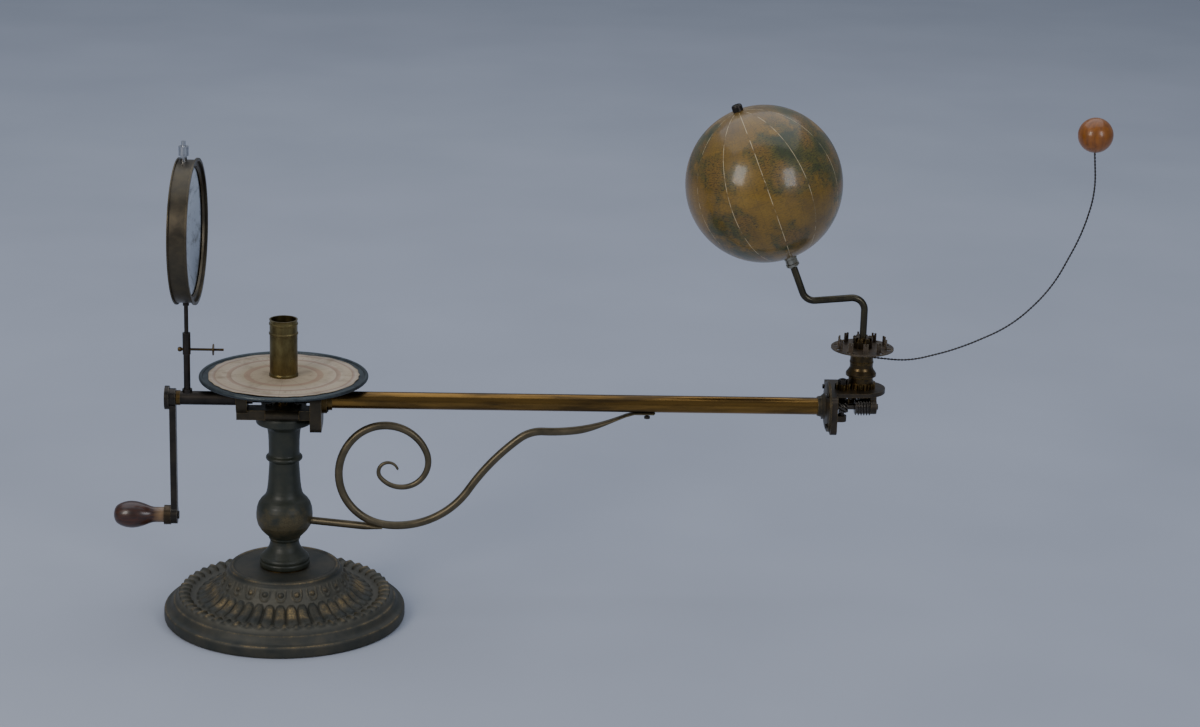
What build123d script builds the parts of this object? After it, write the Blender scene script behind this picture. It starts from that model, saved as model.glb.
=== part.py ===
from build123d import *
from math import acos, atan, cos, degrees, pi, radians, sin, sqrt, tan
import os

# A hand-cranked tellurium: Sun candle, Earth globe and Moon on a turning arm.
# Millimetres, Z up, the column axis is Z and the arm points along +X.

# Clearances
running = 0.05          # radial gap of a shaft in its bearing
end_play = 0.1          # axial gap beside a bearing
tooth_play = 0.12       # gap on each flank of a tooth

# Base casting
base_radius = 124.0
base_rim_height = 12.0
base_top = 56.0
base_plate = 54.0       # flat seat of the column, inside the raised ring
gadroon_count = 40
gadroon_half_width = 5.7
gadroon_outer = 85.0
gadroon_inner = 68.0
cavity_radius = 104.0
cavity_depth = 13.0
foot_pocket = 3.0       # floor of the pocket round the spindle nut
foot_pocket_radius = 20.0
weight_screw_circle = 80.0
weight_screw_radius = 2.5
weight_head_radius = 5.5
weight_head_sink = 0.6
weight_head_pocket = 2.2

# Column and the fixed spindle inside it
spindle_radius = 7.5
spindle_collar = 13.0
bush_wall = 2.5
washer_thickness = 1.5
column_foot_radius = 26.0
column_bead_low = 167.0
column_bulge_radius = 28.9
column_neck_radius = 14.5
capital_radius = 28.5
column_top = 220.0

# Head frame
saddle_thickness = 10.0
saddle_radius = 23.0
frame_screw_circle = 17.0
shaft_height = 240.0    # drive shaft axis above the table
shaft_offset = 20.0     # drive shaft axis in front of the column axis
lug_radius = 15.5
lug_left, lug_right = -46.0, -35.0
cheek_left, cheek_right = 28.5, 40.0
cheek_depth = 46.0
cheek_drop = 30.0
cheek_rise = 10.0

# Tubes of the arm
sleeve_radius = 7.0
sleeve_bore = 5.0
sleeve_end = -106.5
sleeve_bush_length = 4.0
arm_radius = 8.75
arm_wall = 1.5
arm_end = 549.0
head_flange_radius = 14.0
head_flange_screws = 11.9 # radius of their circle
flange_thickness = 5.0
end_flange_radius = 26.0

# Drive shaft and crank
shaft_radius = 4.0
shaft_tail_radius = 3.0
crank_thickness = 6.5
crank_length = 125.0
hub_radius = 12.0
hub_thickness = 4.5
grip_length = 51.0
grip_radius = 13.8
grip_neck = 7.8
ferrule_length = 7.0
ferrule_radius = 10.0
grip_pin_radius = 2.5

# Worm gearing: the two pairs have the same number of teeth
wheel_teeth = 26
head_module = 1.25
end_module = 0.9
worm_turns = 5
sun_wheel_width = 8.0
planet_wheel_width = 6.0

# Dial and candle socket
dial_radius = 85.6
dial_height = 257.6
dial_thickness = 1.2
dial_bead = 2.2
paper_radius = 76.5
paper_thickness = 0.4
socket_bore = 12.6
socket_wall = 1.5
socket_height = 59.0
socket_floor = 3.0
socket_step = 12.0      # height of the candle's seat above the dial

# Earth end of the arm
earth_x = 588.0
bracket_plate_top = 255.0
bracket_plate = 4.3
bracket_half_width = 25.5
bracket_cheek = 6.5
earth_spindle_radius = 5.0
arbor_radius = 3.0
arbor_pivot_radius = 2.0
arbor_dx = 19.3         # arbor axis to the left of the Earth spindle
moon_module = 1.355
pinion_teeth = 10
moon_teeth = 21
moon_gear_width = 5.6
screw_teeth = 6
screw_width = 9.0
crown_radius = 32.0
crown_height = 296.0
crown_thickness = 1.4
prong_count = 10
prong_radius = 23.5
prong_height = 11.0
sleeve_flare_radius = 15.5
moon_sleeve_radius = 11.7

# Globe on its cranked rod
globe_radius = 79.0
globe_wall = 4.0
globe_dx = -108.0       # globe centre from the Earth spindle
globe_height = 466.0
axis_tilt = 21.5
rod_radius = 3.55
globe_pin_radius = 3.0
rod_bend_height = 350.5
rod_low_height = 345.0
rod_bend_radius = 13.0

# Moon
moon_radius = 17.7
wire_radius = 1.0
wire_height = 286.8
moon_dx = 223.0
moon_height = 521.5

# Reflector
mirror_x = -102.5       # back of the pan
mirror_radius = 73.0
mirror_depth = 19.5
mirror_wall = 1.2
mirror_focus = 100.0
glass_thickness = 2.5
glass_radius = 66.5
mirror_height = 412.5
mirror_swing = -3.0     # turned a little to the front on its rod
post_x = -95.5
post_radius = 3.3
stem_radius = 2.1
cross_pin_height = 290.8
cross_pin_radius = 1.25
cross_pin_disc = 5.8
post_socket_radius = 4.0
post_socket_top = 308.0

# Scroll bracket under the arm
scroll_start = (352.0, 226.0)
scroll_heading = 203.6
scroll_arcs = [(203.6, -25.5), (37, 40), (233, 18.6), (88, -63),
               (55, -130), (44.3, -113.7), (27.3, -160), (10, -210)]
scroll_width = 9.0
scroll_thickness = 8.8
scroll_tip = 2.2
strut_radius = 4.0
strut_height = 106.0
strut_end = (96.0, 104.0)

# Derived places
shaft_y = -shaft_offset
crank_left = sleeve_end - 0.5 - crank_thickness
hub_left = crank_left - hub_thickness
crank_pin_height = shaft_height - crank_length
saddle_top = column_top + saddle_thickness
head_pitch = wheel_teeth * head_module / 2
head_worm_pitch = shaft_offset - head_pitch
end_pitch = wheel_teeth * end_module / 2
end_worm_pitch = shaft_offset - end_pitch
moon_centres = (pinion_teeth + moon_teeth) * moon_module / 2
arbor_x = earth_x - arbor_dx
arbor_y = -sqrt(moon_centres**2 - arbor_dx**2)
screw_pitch = (shaft_offset + arbor_y) / 2
flange_face = arm_end + flange_thickness
cheek_face = flange_face + bracket_cheek
moon_gear_bottom = bracket_plate_top + 2 * end_play
head_worm_half = worm_turns * pi * head_module / 2 + 1.5
end_worm_half = worm_turns * pi * end_module / 2 + 0.6

parts = {}


def turned(points, at=(0, 0)):
    """A solid turned about Z from a closed outline of (radius, height) points."""
    outline = make_face(Polyline([(r, 0, z) for r, z in points], close=True).edges())
    return Pos(at[0], at[1], 0) * revolve(outline, Axis.Z)


def rod_z(radius, low, high, x=0.0, y=0.0):
    """A vertical cylinder between two heights."""
    return Pos(x, y, (low + high) / 2) * Cylinder(radius, high - low)


def rod_x(radius, left, right, y=shaft_y, z=shaft_height):
    """A cylinder along X between two places, on the drive shaft axis by default."""
    return Pos((left + right) / 2, y, z) * Rot(0, 90, 0) * Cylinder(radius, right - left)


def tube_z(outer, inner, low, high, x=0.0, y=0.0):
    """A vertical tube."""
    return rod_z(outer, low, high, x, y) - rod_z(inner, low - 1, high + 1, x, y)


def tube_x(outer, inner, left, right, y=shaft_y, z=shaft_height):
    """A tube along X."""
    return rod_x(outer, left, right, y, z) - rod_x(inner, left - 1, right + 1, y, z)


def block(left, right, front, back, low, high):
    """A box between its six planes."""
    middle = Pos((left + right) / 2, (front + back) / 2, (low + high) / 2)
    return middle * Box(right - left, back - front, high - low)


def hexagon(across, low, high, x=0.0, y=0.0):
    """A hexagonal nut blank, by its width across the flats."""
    side = RegularPolygon(across / 2, 6, major_radius=False)
    return Pos(x, y, low) * extrude(side, high - low)


def screw_z(x, y, seat, head_radius, head, shank_radius, shank):
    """A slotted cheese-head screw driven down onto a seat."""
    solid = rod_z(head_radius, seat, seat + head, x, y)
    solid += rod_z(shank_radius, seat - shank, seat, x, y)
    return solid - block(x - 2 * head_radius, x + 2 * head_radius, y - 0.35, y + 0.35,
                         seat + 0.55 * head, seat + head + 1)


def screw_x(y, z, seat, head_radius, head, shank_radius, shank, way=1):
    """A slotted screw along X whose head stands on a face, way is where it points."""
    upright = screw_z(0, 0, 0, head_radius, head, shank_radius, shank)
    return Pos(seat, y, z) * Rot(0, 90 * way, 0) * upright


def around(count, first=0.0):
    """Evenly spaced angles in degrees."""
    return [first + 360 * k / count for k in range(count)]


def bend_radii(points):
    """The largest tangent arc that each corner of a route allows."""
    radii = []
    for a, b, c in zip(points, points[1:], points[2:]):
        first, second = Vector(*b) - Vector(*a), Vector(*c) - Vector(*b)
        turn = radians(first.get_angle(second))
        radii.append(0.45 * min(first.length, second.length) / tan(turn / 2))
    return radii


# Teeth

def slanted_wheel(teeth, module, lead_angle, width, bore):
    """A worm wheel: straight-sided teeth that lie along the thread they meet."""
    pitch = teeth * module / 2
    tip, root = pitch + 0.8 * module, pitch - 1.1 * module
    half = pi * module / 4 - tooth_play / 2
    slope = tan(radians(20))
    low, high = half + (pitch - root) * slope, half - (tip - pitch) * slope
    flank = Polyline((root - 0.3, -low), (tip, -high), (tip, high), (root - 0.3, low), close=True)
    long = width / cos(radians(lead_angle)) + 1
    tooth = Rot(-lead_angle, 0, 0) * Pos(0, 0, -long / 2) * extrude(make_face(flank.edges()), long)
    tooth &= Pos(tip, 0, 0) * Box(2 * tip, 8 * module, width)
    wheel = Cylinder(root, width)
    wheel += [Rot(0, 0, a) * tooth for a in around(teeth, 180 / teeth - 90)]
    return wheel - Cylinder(bore, 2 * width)


def worm(module, pitch, half_length, turns):
    """A right-handed single thread about X, a crest facing +Y in the middle."""
    root, tip = pitch - 1.1 * module, pitch + 0.8 * module
    lead = pi * module
    half = lead / 4 - tooth_play / 2
    slope = tan(radians(20))
    low = half + (pitch - root + 0.2) * slope
    high = half - (tip - pitch) * slope
    helix = Helix(lead, turns * lead, root - 0.2)
    section = Plane(origin=helix @ 0, x_dir=(1, 0, 0), z_dir=helix % 0)
    outline = Polyline((0, -low), (tip - root + 0.2, -high), (tip - root + 0.2, high), (0, low), close=True)
    thread = sweep(section * make_face(outline.edges()), path=helix, is_frenet=True)
    quarter = round(turns / 2) + 0.25
    thread = Pos(0, 0, -quarter * lead) * thread & Cylinder(tip + 1, 2 * half_length)
    return Rot(0, 90, 0) * (Cylinder(root, 2 * half_length) + thread)


def involute_gear(teeth, module, width, bore, phase):
    """A spur gear with involute flanks of 25 degrees; phase turns a tooth to that angle."""
    pitch = teeth * module / 2
    base = pitch * cos(radians(25))
    tip, root = pitch + 0.75 * module, pitch - 1.0 * module

    def involute(radius):
        pressure = acos(min(1.0, base / radius))
        return tan(pressure) - pressure

    half = pi / (2 * teeth) - tooth_play / (2 * pitch)
    start = max(base, root)
    flank = [(r, half + involute(pitch) - involute(r)) for r in (start, (start + pitch) / 2, pitch, tip)]
    if root < base:
        flank.insert(0, (root - 0.1, flank[0][1]))
    else:
        flank.insert(0, (root - 0.1, flank[0][1] * 1.02))
    upper = [(r * cos(a), r * sin(a)) for r, a in flank]
    lower = [(x, -y) for x, y in reversed(upper)]
    tooth = extrude(make_face(Polyline(upper + lower, close=True).edges()), width)
    gear = Pos(0, 0, width / 2) * Cylinder(root, width)
    gear += [Rot(0, 0, a) * tooth for a in around(teeth, phase)]
    return gear - Cylinder(bore, 3 * width)


def screw_gear(pitch, teeth, width, bore, phase):
    """A crossed-axis gear: right-handed teeth at 45 degrees, a crest at phase in mid width."""
    module = 2 * pitch / teeth * cos(radians(45))
    root, tip = pitch - 0.8 * module, pitch + 0.55 * module
    half = 90 / teeth - degrees(2.2 * tooth_play / pitch)
    points = []
    for k in range(teeth):
        middle = 360 * k / teeth
        for radius, share in ((root, 1.45), (pitch, 1.0), (tip, 0.45)):
            points.append((radius, middle - half * share))
        for radius, share in ((tip, 0.45), (pitch, 1.0), (root, 1.45)):
            points.append((radius, middle + half * share))
    outline = Polyline([(r * cos(radians(a)), r * sin(radians(a))) for r, a in points], close=True)
    twist = degrees(width / pitch)
    face = (Rot(0, 0, phase - twist / 2) * make_face(outline.edges())).faces()[0]
    solid = Solid.extrude_linear_with_rotation(face, (0, 0, 0), (0, 0, width), twist)
    return Pos(0, 0, -width / 2) * solid - Cylinder(bore, 2 * width)


# Stand: base, fixed spindle, sun wheel, dial and candle socket

def base_casting():
    """The round cast base: vertical rim, ogee, leaf border, gadroon slope and column seat."""
    rim = base_radius
    high = base_rim_height
    outline = [(spindle_radius, 0), (rim - 2, 0), (rim, 2), (rim, high - 1), (rim - 1, high),
               (rim - 4, high + 0.5), (rim - 7, high + 4), (rim - 9, high + 7.5),
               (rim - 12, high + 8), (rim - 14, high + 11), (rim - 17, high + 14), (rim - 21, high + 15),
               (rim - 25, 25.5), (rim - 28, 22.5), (gadroon_outer + 3, 20.5), (gadroon_outer - 4, 21),
               (gadroon_inner + 6, 27), (gadroon_inner - 1, 36), (gadroon_inner - 3, 40), (gadroon_inner - 7, 46),
               (gadroon_inner - 9, 50), (57, base_top - 3), (56, base_top - 0.8), (54.5, base_top),
               (52.5, base_top), (51, base_plate), (spindle_radius, base_plate)]
    body = turned(outline)
    slope = degrees(atan((36 - 22) / (gadroon_outer - gadroon_inner)))
    middle, reach = (gadroon_outer + gadroon_inner) / 2, 12.0
    lobe = Cylinder(gadroon_half_width, reach, rotation=(0, 90, 0))
    lobe += Pos(reach / 2, 0, 0) * Sphere(gadroon_half_width)
    lobe = Pos(middle + 0.5, 0, 27) * Rot(0, slope, 0) * lobe
    body += [Rot(0, 0, a) * lobe for a in around(gadroon_count)]
    body -= rod_z(cavity_radius, -1, cavity_depth)
    return body - rod_z(spindle_radius, -1, base_top + 1)


def base_weight():
    """The iron disc that closes the hollow of the base against tipping, pocketed for the spindle nut."""
    disc = rod_z(cavity_radius - 2, 0, cavity_depth) - rod_z(foot_pocket_radius, foot_pocket, cavity_depth + 1)
    hole = rod_z(weight_screw_radius, -1, cavity_depth + 1, weight_screw_circle)
    hole += rod_z(weight_head_radius + 6 * running, -1, weight_head_pocket, weight_screw_circle)
    return disc - [Rot(0, 0, a) * hole for a in around(3, 90)]


def weight_screws():
    """Three screws that hold the weight up to the casting, heads sunk below."""
    one = rod_z(weight_head_radius, weight_head_sink, weight_head_pocket, weight_screw_circle)
    one += rod_z(weight_screw_radius - running, weight_head_pocket, cavity_depth, weight_screw_circle)
    return [Rot(0, 0, a) * one for a in around(3, 90)]


def sun_spindle():
    """The fixed vertical spindle that the whole arm turns about."""
    foot, collar_top, top = foot_pocket + 0.5, base_plate + 3.5, dial_height
    return turned([(0, foot), (spindle_radius, foot), (spindle_radius, base_plate), (spindle_collar, base_plate),
                   (spindle_collar, collar_top), (spindle_radius, collar_top), (spindle_radius, top),
                   (5, top), (5, top + 12.4), (4.4, top + 13), (0, top + 13)])


column_foot = base_plate + washer_thickness + running
parts["base_casting"] = base_casting()
parts["base_weight"] = base_weight()
parts["sun_spindle"] = sun_spindle()
foot_nut = hexagon(26, 5, cavity_depth) - rod_z(spindle_radius, 0, 20)
parts["base_fasteners"] = [foot_nut] + weight_screws()
parts["thrust_washer"] = tube_z(24, spindle_collar + 0.2, base_plate, base_plate + washer_thickness)

head_lead_angle = degrees(atan(head_module / (2 * head_worm_pitch)))
sun_wheel = Pos(0, 0, shaft_height) * slanted_wheel(wheel_teeth, head_module, head_lead_angle,
                                                    sun_wheel_width, spindle_radius)
sun_wheel += tube_z(11, spindle_radius, saddle_top + end_play, shaft_height - sun_wheel_width / 2)
parts["sun_wheel"] = sun_wheel
hub_low = shaft_height + sun_wheel_width / 2
parts["dial_hub"] = turned([(spindle_radius, hub_low), (12, hub_low), (12, dial_height - 6),
                            (20, dial_height - 2), (20, dial_height), (spindle_radius, dial_height)])


def dial_plate():
    """A zinc disc with its edge rolled over a wire."""
    disc = tube_z(dial_radius - dial_bead, 5, dial_height, dial_height + dial_thickness)
    bead = Pos(0, 0, dial_height + dial_thickness / 2) * Torus(dial_radius - dial_bead, dial_bead)
    return disc + bead


def candle_socket():
    """A thin brass tube with turned beads, closed by a floor that the spindle nut clamps."""
    low = dial_height + dial_thickness + paper_thickness
    outer, top = socket_bore + socket_wall, low + socket_height
    outline = [(5, low), (outer + 0.6, low), (outer + 0.6, low + 2), (outer, low + 3), (outer, top - 16),
               (outer + 0.7, top - 15.2), (outer + 0.7, top - 14), (outer, top - 13.2), (outer, top - 6),
               (outer + 0.6, top - 5.2), (outer + 0.6, top - 4), (outer, top - 3.2), (outer, top - 1),
               (outer + 0.3, top), (socket_bore, top), (socket_bore, low + socket_step),
               (10, low + socket_step), (10, low + socket_floor), (5, low + socket_floor)]
    return turned(outline)


nut_seat = dial_height + dial_thickness + paper_thickness + socket_floor
parts["dial_plate"] = dial_plate()
parts["dial_paper"] = tube_z(paper_radius, 5, dial_height + dial_thickness,
                             dial_height + dial_thickness + paper_thickness)
parts["candle_socket"] = candle_socket()
socket_washer = tube_z(9, 5, nut_seat, nut_seat + 1.2)
parts["socket_nut"] = [socket_washer, hexagon(15, nut_seat + 1.2, nut_seat + 6.2) - rod_z(5, 200, 300)]


# Column and head frame

def column():
    """The turned hollow column: collared foot, neck, bulge, waist, bead and capital."""
    neck, bulge = column_neck_radius, column_bulge_radius
    foot, low, bead = column_foot_radius, column_foot, column_bead_low
    profile = Polyline((0, low), (foot, low), (foot, low + 6))
    profile += Spline((foot, low + 6), (foot - 2.6, low + 12.5), (neck + 4.5, low + 19.5), (neck, low + 25))
    profile += Line((neck, low + 25), (neck, low + 30))
    profile += Spline((neck, low + 30), (neck + 4.3, low + 35), (bulge - 2.2, low + 43.5),
                      (bulge, low + 56), (bulge - 3.3, low + 67), (bulge - 9.4, low + 78),
                      (bulge - 12.3, low + 93), (neck + 0.3, bead))
    profile += Polyline((neck + 0.3, bead), (neck + 2.6, bead + 1))
    profile += ThreePointArc((neck + 2.6, bead + 1), (neck + 3.9, bead + 5.5), (neck + 2.6, bead + 10))
    throat = column_top - 16.5
    profile += Polyline((neck + 2.6, bead + 10), (neck + 0.9, bead + 11.5), (neck + 0.9, throat - 7.5),
                        (neck + 2.2, throat))
    profile += ThreePointArc((neck + 2.2, throat), (neck + 6.5, throat + 4.5), (capital_radius, throat + 6))
    profile += Polyline((capital_radius, throat + 6), (capital_radius, column_top - 4),
                        (capital_radius - 2.5, column_top), (0, column_top), (0, low))
    section = make_face([Rot(90, 0, 0) * edge for edge in profile.edges()])
    solid = revolve(section, Axis.Z)
    solid -= rod_z(spindle_radius + bush_wall, 0, column_top + 1)
    return solid - rod_z(spindle_collar + 0.5, 0, base_plate + 4.5)


foot_bush_low = base_plate + 4.5
parts["column"] = column()
foot_bush = tube_z(spindle_radius + bush_wall, spindle_radius + running, foot_bush_low, foot_bush_low + 14)
head_bush = tube_z(spindle_radius + bush_wall, spindle_radius + running, column_top - 14, saddle_top)


def frame_screw_places():
    """Where the three screws of the saddle stand."""
    return [(frame_screw_circle * cos(radians(a)), frame_screw_circle * sin(radians(a))) for a in around(3, 90)]


def head_frame():
    """The forged saddle on the capital with its bearing lug and its deep right cheek."""
    saddle = rod_z(saddle_radius, column_top, saddle_top)
    saddle += block(lug_left, cheek_left, shaft_y - 9, shaft_y + 11, column_top, saddle_top)
    boss = Pos(0, shaft_y - 9, (column_top + saddle_top) / 2) * Rot(0, 90, 0) * Cylinder(4.9, 34)
    lug = rod_x(lug_radius, lug_left, lug_right) & block(lug_left, lug_right, -60, 60, saddle_top - 7, 300)
    cheek_front = shaft_y - cheek_depth / 2
    cheek = block(cheek_left, cheek_right, cheek_front, cheek_front + cheek_depth,
                  shaft_height - cheek_drop, shaft_height + cheek_rise)
    cheek = fillet(cheek.edges().filter_by(Axis.X), 8)
    frame = saddle + boss + lug + cheek
    frame -= rod_z(spindle_radius + bush_wall, 200, 260)
    frame -= rod_x(shaft_radius + running, lug_left - 1, cheek_right + 1)
    frame -= [rod_z(2.0, 200, saddle_top + 1, x, y) for x, y in frame_screw_places()]
    return frame - rod_x(head_worm_pitch + 2.2, -head_worm_half - 1, head_worm_half + 1)


def frame_screws():
    """Three screws from the saddle into the capital, heads flush under the wheel."""
    return [screw_z(x, y, saddle_top, 3.6, 2.0, 2.0, saddle_thickness) for x, y in frame_screw_places()]


parts["head_frame"] = head_frame()
parts["sleeve_tube"] = tube_x(sleeve_radius, sleeve_bore, sleeve_end + sleeve_bush_length, lug_left)
sleeve_bush = tube_x(sleeve_radius + 0.6, shaft_radius + running,
                     sleeve_end, sleeve_end + sleeve_bush_length)
parts["arm_tube"] = tube_x(arm_radius, arm_radius - arm_wall, cheek_right, arm_end + flange_thickness)


def head_flange():
    """The round flange that holds the arm tube to the right cheek."""
    body = rod_x(head_flange_radius, cheek_right, cheek_right + flange_thickness)
    body += rod_x(arm_radius + 2, cheek_right, cheek_right + 2 * flange_thickness)
    return body - rod_x(arm_radius, cheek_right - 1, cheek_right + 3 * flange_thickness)


def end_flange():
    """The bell that flares from the arm tube to the end bracket."""
    start, face = arm_end - 7, flange_face
    outline = [(arm_radius, 0), (arm_radius + 1.2, 0), (arm_radius + 2, 3.5), (arm_radius + 5, 7),
               (end_flange_radius - 4, face - start - 3.6), (end_flange_radius, face - start - 2),
               (end_flange_radius, face - start), (arm_radius, face - start)]
    return Pos(start, shaft_y, shaft_height) * Rot(0, 90, 0) * turned(outline)


def flange_screws():
    """Four screws at each end of the arm, driven from the arm side."""
    at_head = head_flange_screws
    at_end = end_flange_radius - 3
    screws = []
    for a in around(4, 45):
        y, z = cos(radians(a)), sin(radians(a))
        screws.append(screw_x(shaft_y + at_head * y, shaft_height + at_head * z,
                              cheek_right + flange_thickness, 1.9, 1.6, 0.9, 4.5))
        screws.append(screw_x(shaft_y + at_end * y, shaft_height + at_end * z,
                              flange_face - 3.3, 2.4, 2.0, 1.2, 3.0, way=-1))
    return screws


def bracket_lug():
    """The bearing that hangs from the plate and carries the end of the drive shaft."""
    left, right = earth_x + end_worm_half + 0.6, earth_x + end_worm_half + 6.6
    eye = rod_x(7.5, left, right)
    neck = block(left, right, shaft_y - 2, shaft_y + 8.5, shaft_height, bracket_plate_top - bracket_plate)
    return eye + neck - rod_x(shaft_tail_radius + running, left - 1, right + 1)


def end_bracket():
    """Cheek and top plate in one piece, round at the Earth end."""
    low = bracket_plate_top - bracket_plate
    plate = block(flange_face, earth_x, -bracket_half_width, bracket_half_width, low, bracket_plate_top)
    plate += rod_z(bracket_half_width, low, bracket_plate_top, earth_x)
    cheek = block(flange_face, cheek_face, shaft_y - 23, shaft_y + 23, shaft_height - 25, bracket_plate_top)
    cheek = fillet(cheek.edges().filter_by(Axis.X), 6)
    body = plate + cheek
    body -= rod_z(earth_spindle_radius + 3, 0, 400, earth_x)
    body -= rod_z(arbor_radius + running, low - 1, 400, arbor_x, arbor_y)
    return body - rod_x(shaft_radius + running, flange_face - 1, cheek_face + 1)


cock_low = shaft_height - 19
parts["head_flange"] = head_flange()
parts["end_flange"] = end_flange() - rod_x(arm_radius, arm_end - 20, flange_face)
for flange in ("head_flange", "end_flange"):
    parts[flange] -= flange_screws()
parts["end_bracket"] = end_bracket()
parts["shaft_end_lug"] = bracket_lug()
arbor_cock = block(cheek_face, arbor_x, arbor_y - 5.5, arbor_y + 5.5, cock_low, cock_low + 6)
arbor_cock += rod_z(5.5, cock_low, cock_low + 6, arbor_x, arbor_y)
pivot_hole = rod_z(arbor_pivot_radius + running, cock_low + 1.5, cock_low + 7, arbor_x, arbor_y)
parts["arbor_cock"] = arbor_cock - pivot_hole
bush_low = bracket_plate_top - bracket_plate - 2
earth_bush_bore = earth_spindle_radius + running
earth_bush = tube_z(earth_spindle_radius + 3, earth_bush_bore, bush_low, bracket_plate_top, earth_x)
earth_bush += tube_z(10, earth_bush_bore, bush_low, bush_low + 2, earth_x)
parts["bearing_bushes"] = [foot_bush, head_bush, sleeve_bush, earth_bush]


# Crank: the drive shaft with its worms, the arm and the turning grip

crank_shaft = rod_x(shaft_radius, hub_left, -head_worm_half)
parts["crank_shaft"] = crank_shaft + rod_x(5.4, lug_right + end_play, lug_right + 5)
head_worm = worm(head_module, head_worm_pitch, head_worm_half, worm_turns)
parts["head_worm"] = Pos(0, shaft_y, shaft_height) * head_worm
parts["drive_shaft"] = (rod_x(shaft_radius, head_worm_half, cheek_face + end_play)
                        + rod_x(shaft_tail_radius, cheek_face, earth_x + end_worm_half + 8.5))
end_worm = worm(end_module, end_worm_pitch, end_worm_half, worm_turns)
end_worm -= Rot(0, 90, 0) * Cylinder(shaft_tail_radius, 4 * end_worm_half)
parts["end_worm"] = Pos(earth_x, shaft_y, shaft_height) * end_worm
shaft_gear = screw_gear(screw_pitch, screw_teeth, screw_width, shaft_tail_radius, 90)
parts["shaft_screw_gear"] = Pos(arbor_x, shaft_y, shaft_height) * Rot(0, 90, 0) * shaft_gear


def crank_arm():
    """The forged crank strip with an eye at each end."""
    y = shaft_y
    left, right = crank_left, crank_left + crank_thickness
    strip = block(left, right, y - 5.5, y + 5.5, crank_pin_height, shaft_height)
    arm = strip + rod_x(9.5, left, right) + rod_x(9, left, right, z=crank_pin_height)
    arm -= rod_x(shaft_radius, left - 1, right + 1)
    return arm - rod_x(grip_pin_radius, left - 1, right + 1, z=crank_pin_height)


def crank_grip():
    """The turned wooden grip on its pin: domed end, belly and slim neck."""
    length = grip_length
    half = grip_radius
    outline = Polyline((0, 0), (grip_neck, 0), (grip_neck, 8))
    outline += Spline((grip_neck, 8), (grip_neck + 2.6, 18), (half, 33), (half - 1.6, length - 9),
                      (half - 5.6, length - 2.5), (0, length), tangents=[(0, 1), (-1, 0.05)])
    outline += Line((0, length), (0, 0))
    solid = revolve(make_face([Rot(90, 0, 0) * edge for edge in outline.edges()]), Axis.Z)
    solid -= rod_z(grip_pin_radius + running, -1, 34)
    right = crank_left - ferrule_length - 2 * end_play
    return Pos(right, shaft_y, crank_pin_height) * Rot(0, -90, 0) * solid


grip_right = crank_left - end_play
parts["crank_hub"] = tube_x(hub_radius, shaft_radius, hub_left, crank_left)
parts["crank_arm"] = crank_arm()
crank_right = crank_left + crank_thickness
crank_pin = rod_x(grip_pin_radius, grip_right - ferrule_length - 33, crank_right, z=crank_pin_height)
parts["crank_pin"] = crank_pin + rod_x(4, crank_right, crank_right + 1.6, z=crank_pin_height)
parts["crank_grip"] = crank_grip()
parts["grip_ferrule"] = tube_x(ferrule_radius, grip_pin_radius + running,
                               grip_right - ferrule_length, grip_right, z=crank_pin_height)


# Moon drive: arbor, pinion and Moon carrier

def moon_sleeve():
    """The turned brass sleeve that carries the Moon gear below and the crown above."""
    low, bore = moon_gear_bottom, earth_spindle_radius + running
    gear_top = low + moon_gear_width
    flare, outer, top = sleeve_flare_radius, moon_sleeve_radius, crown_height + crown_thickness
    return turned([(bore, low), (8, low), (8, gear_top), (12.5, gear_top), (12.5, gear_top + 5.7),
                   (flare, gear_top + 7.2), (flare, gear_top + 9.7), (outer + 1, gear_top + 13.7),
                   (outer, gear_top + 16.2), (outer, gear_top + 20.2), (outer + 0.5, gear_top + 20.7),
                   (outer + 0.5, gear_top + 22.2), (outer, gear_top + 22.7), (outer, crown_height),
                   (8, crown_height), (8, top), (bore, top)], at=(earth_x, 0))


def crown_disc():
    """A flat disc with prongs cut and bent up, each leaving a window at its foot."""
    disc = tube_z(crown_radius, 8, crown_height, crown_height + crown_thickness)
    back, tip = prong_radius + crown_thickness, crown_height + prong_height
    prong = block(prong_radius, back, -2.5, 2.5, crown_height, tip)
    prong -= Pos(prong_radius, 0, tip) * Box(6, 1.4, 5)
    window = block(back, back + 4.5, -2.6, 2.6, crown_height - 1, tip)
    for a in around(prong_count, 18):
        disc = disc - Rot(0, 0, a) * window + Rot(0, 0, a) * prong
    return Pos(earth_x, 0, 0) * disc


def moon_wire():
    """The long bent wire from the sleeve to the Moon ball."""
    end = moon_height - moon_radius + 5
    route = [(moon_sleeve_radius - 2, wire_height), (48, wire_height - 3.5), (98, wire_height + 10),
             (152, wire_height + 35.5), (190, wire_height + 75), (moon_dx - 6, wire_height + 133),
             (moon_dx + 4.5, wire_height + 176), (moon_dx, end)]
    points = [(earth_x + x, 0, z) for x, z in route]
    path = FilletPolyline(*points, radius=bend_radii(points))
    start = Plane(origin=path @ 0, z_dir=path % 0)
    return sweep(start * Circle(wire_radius), path=path)


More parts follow.
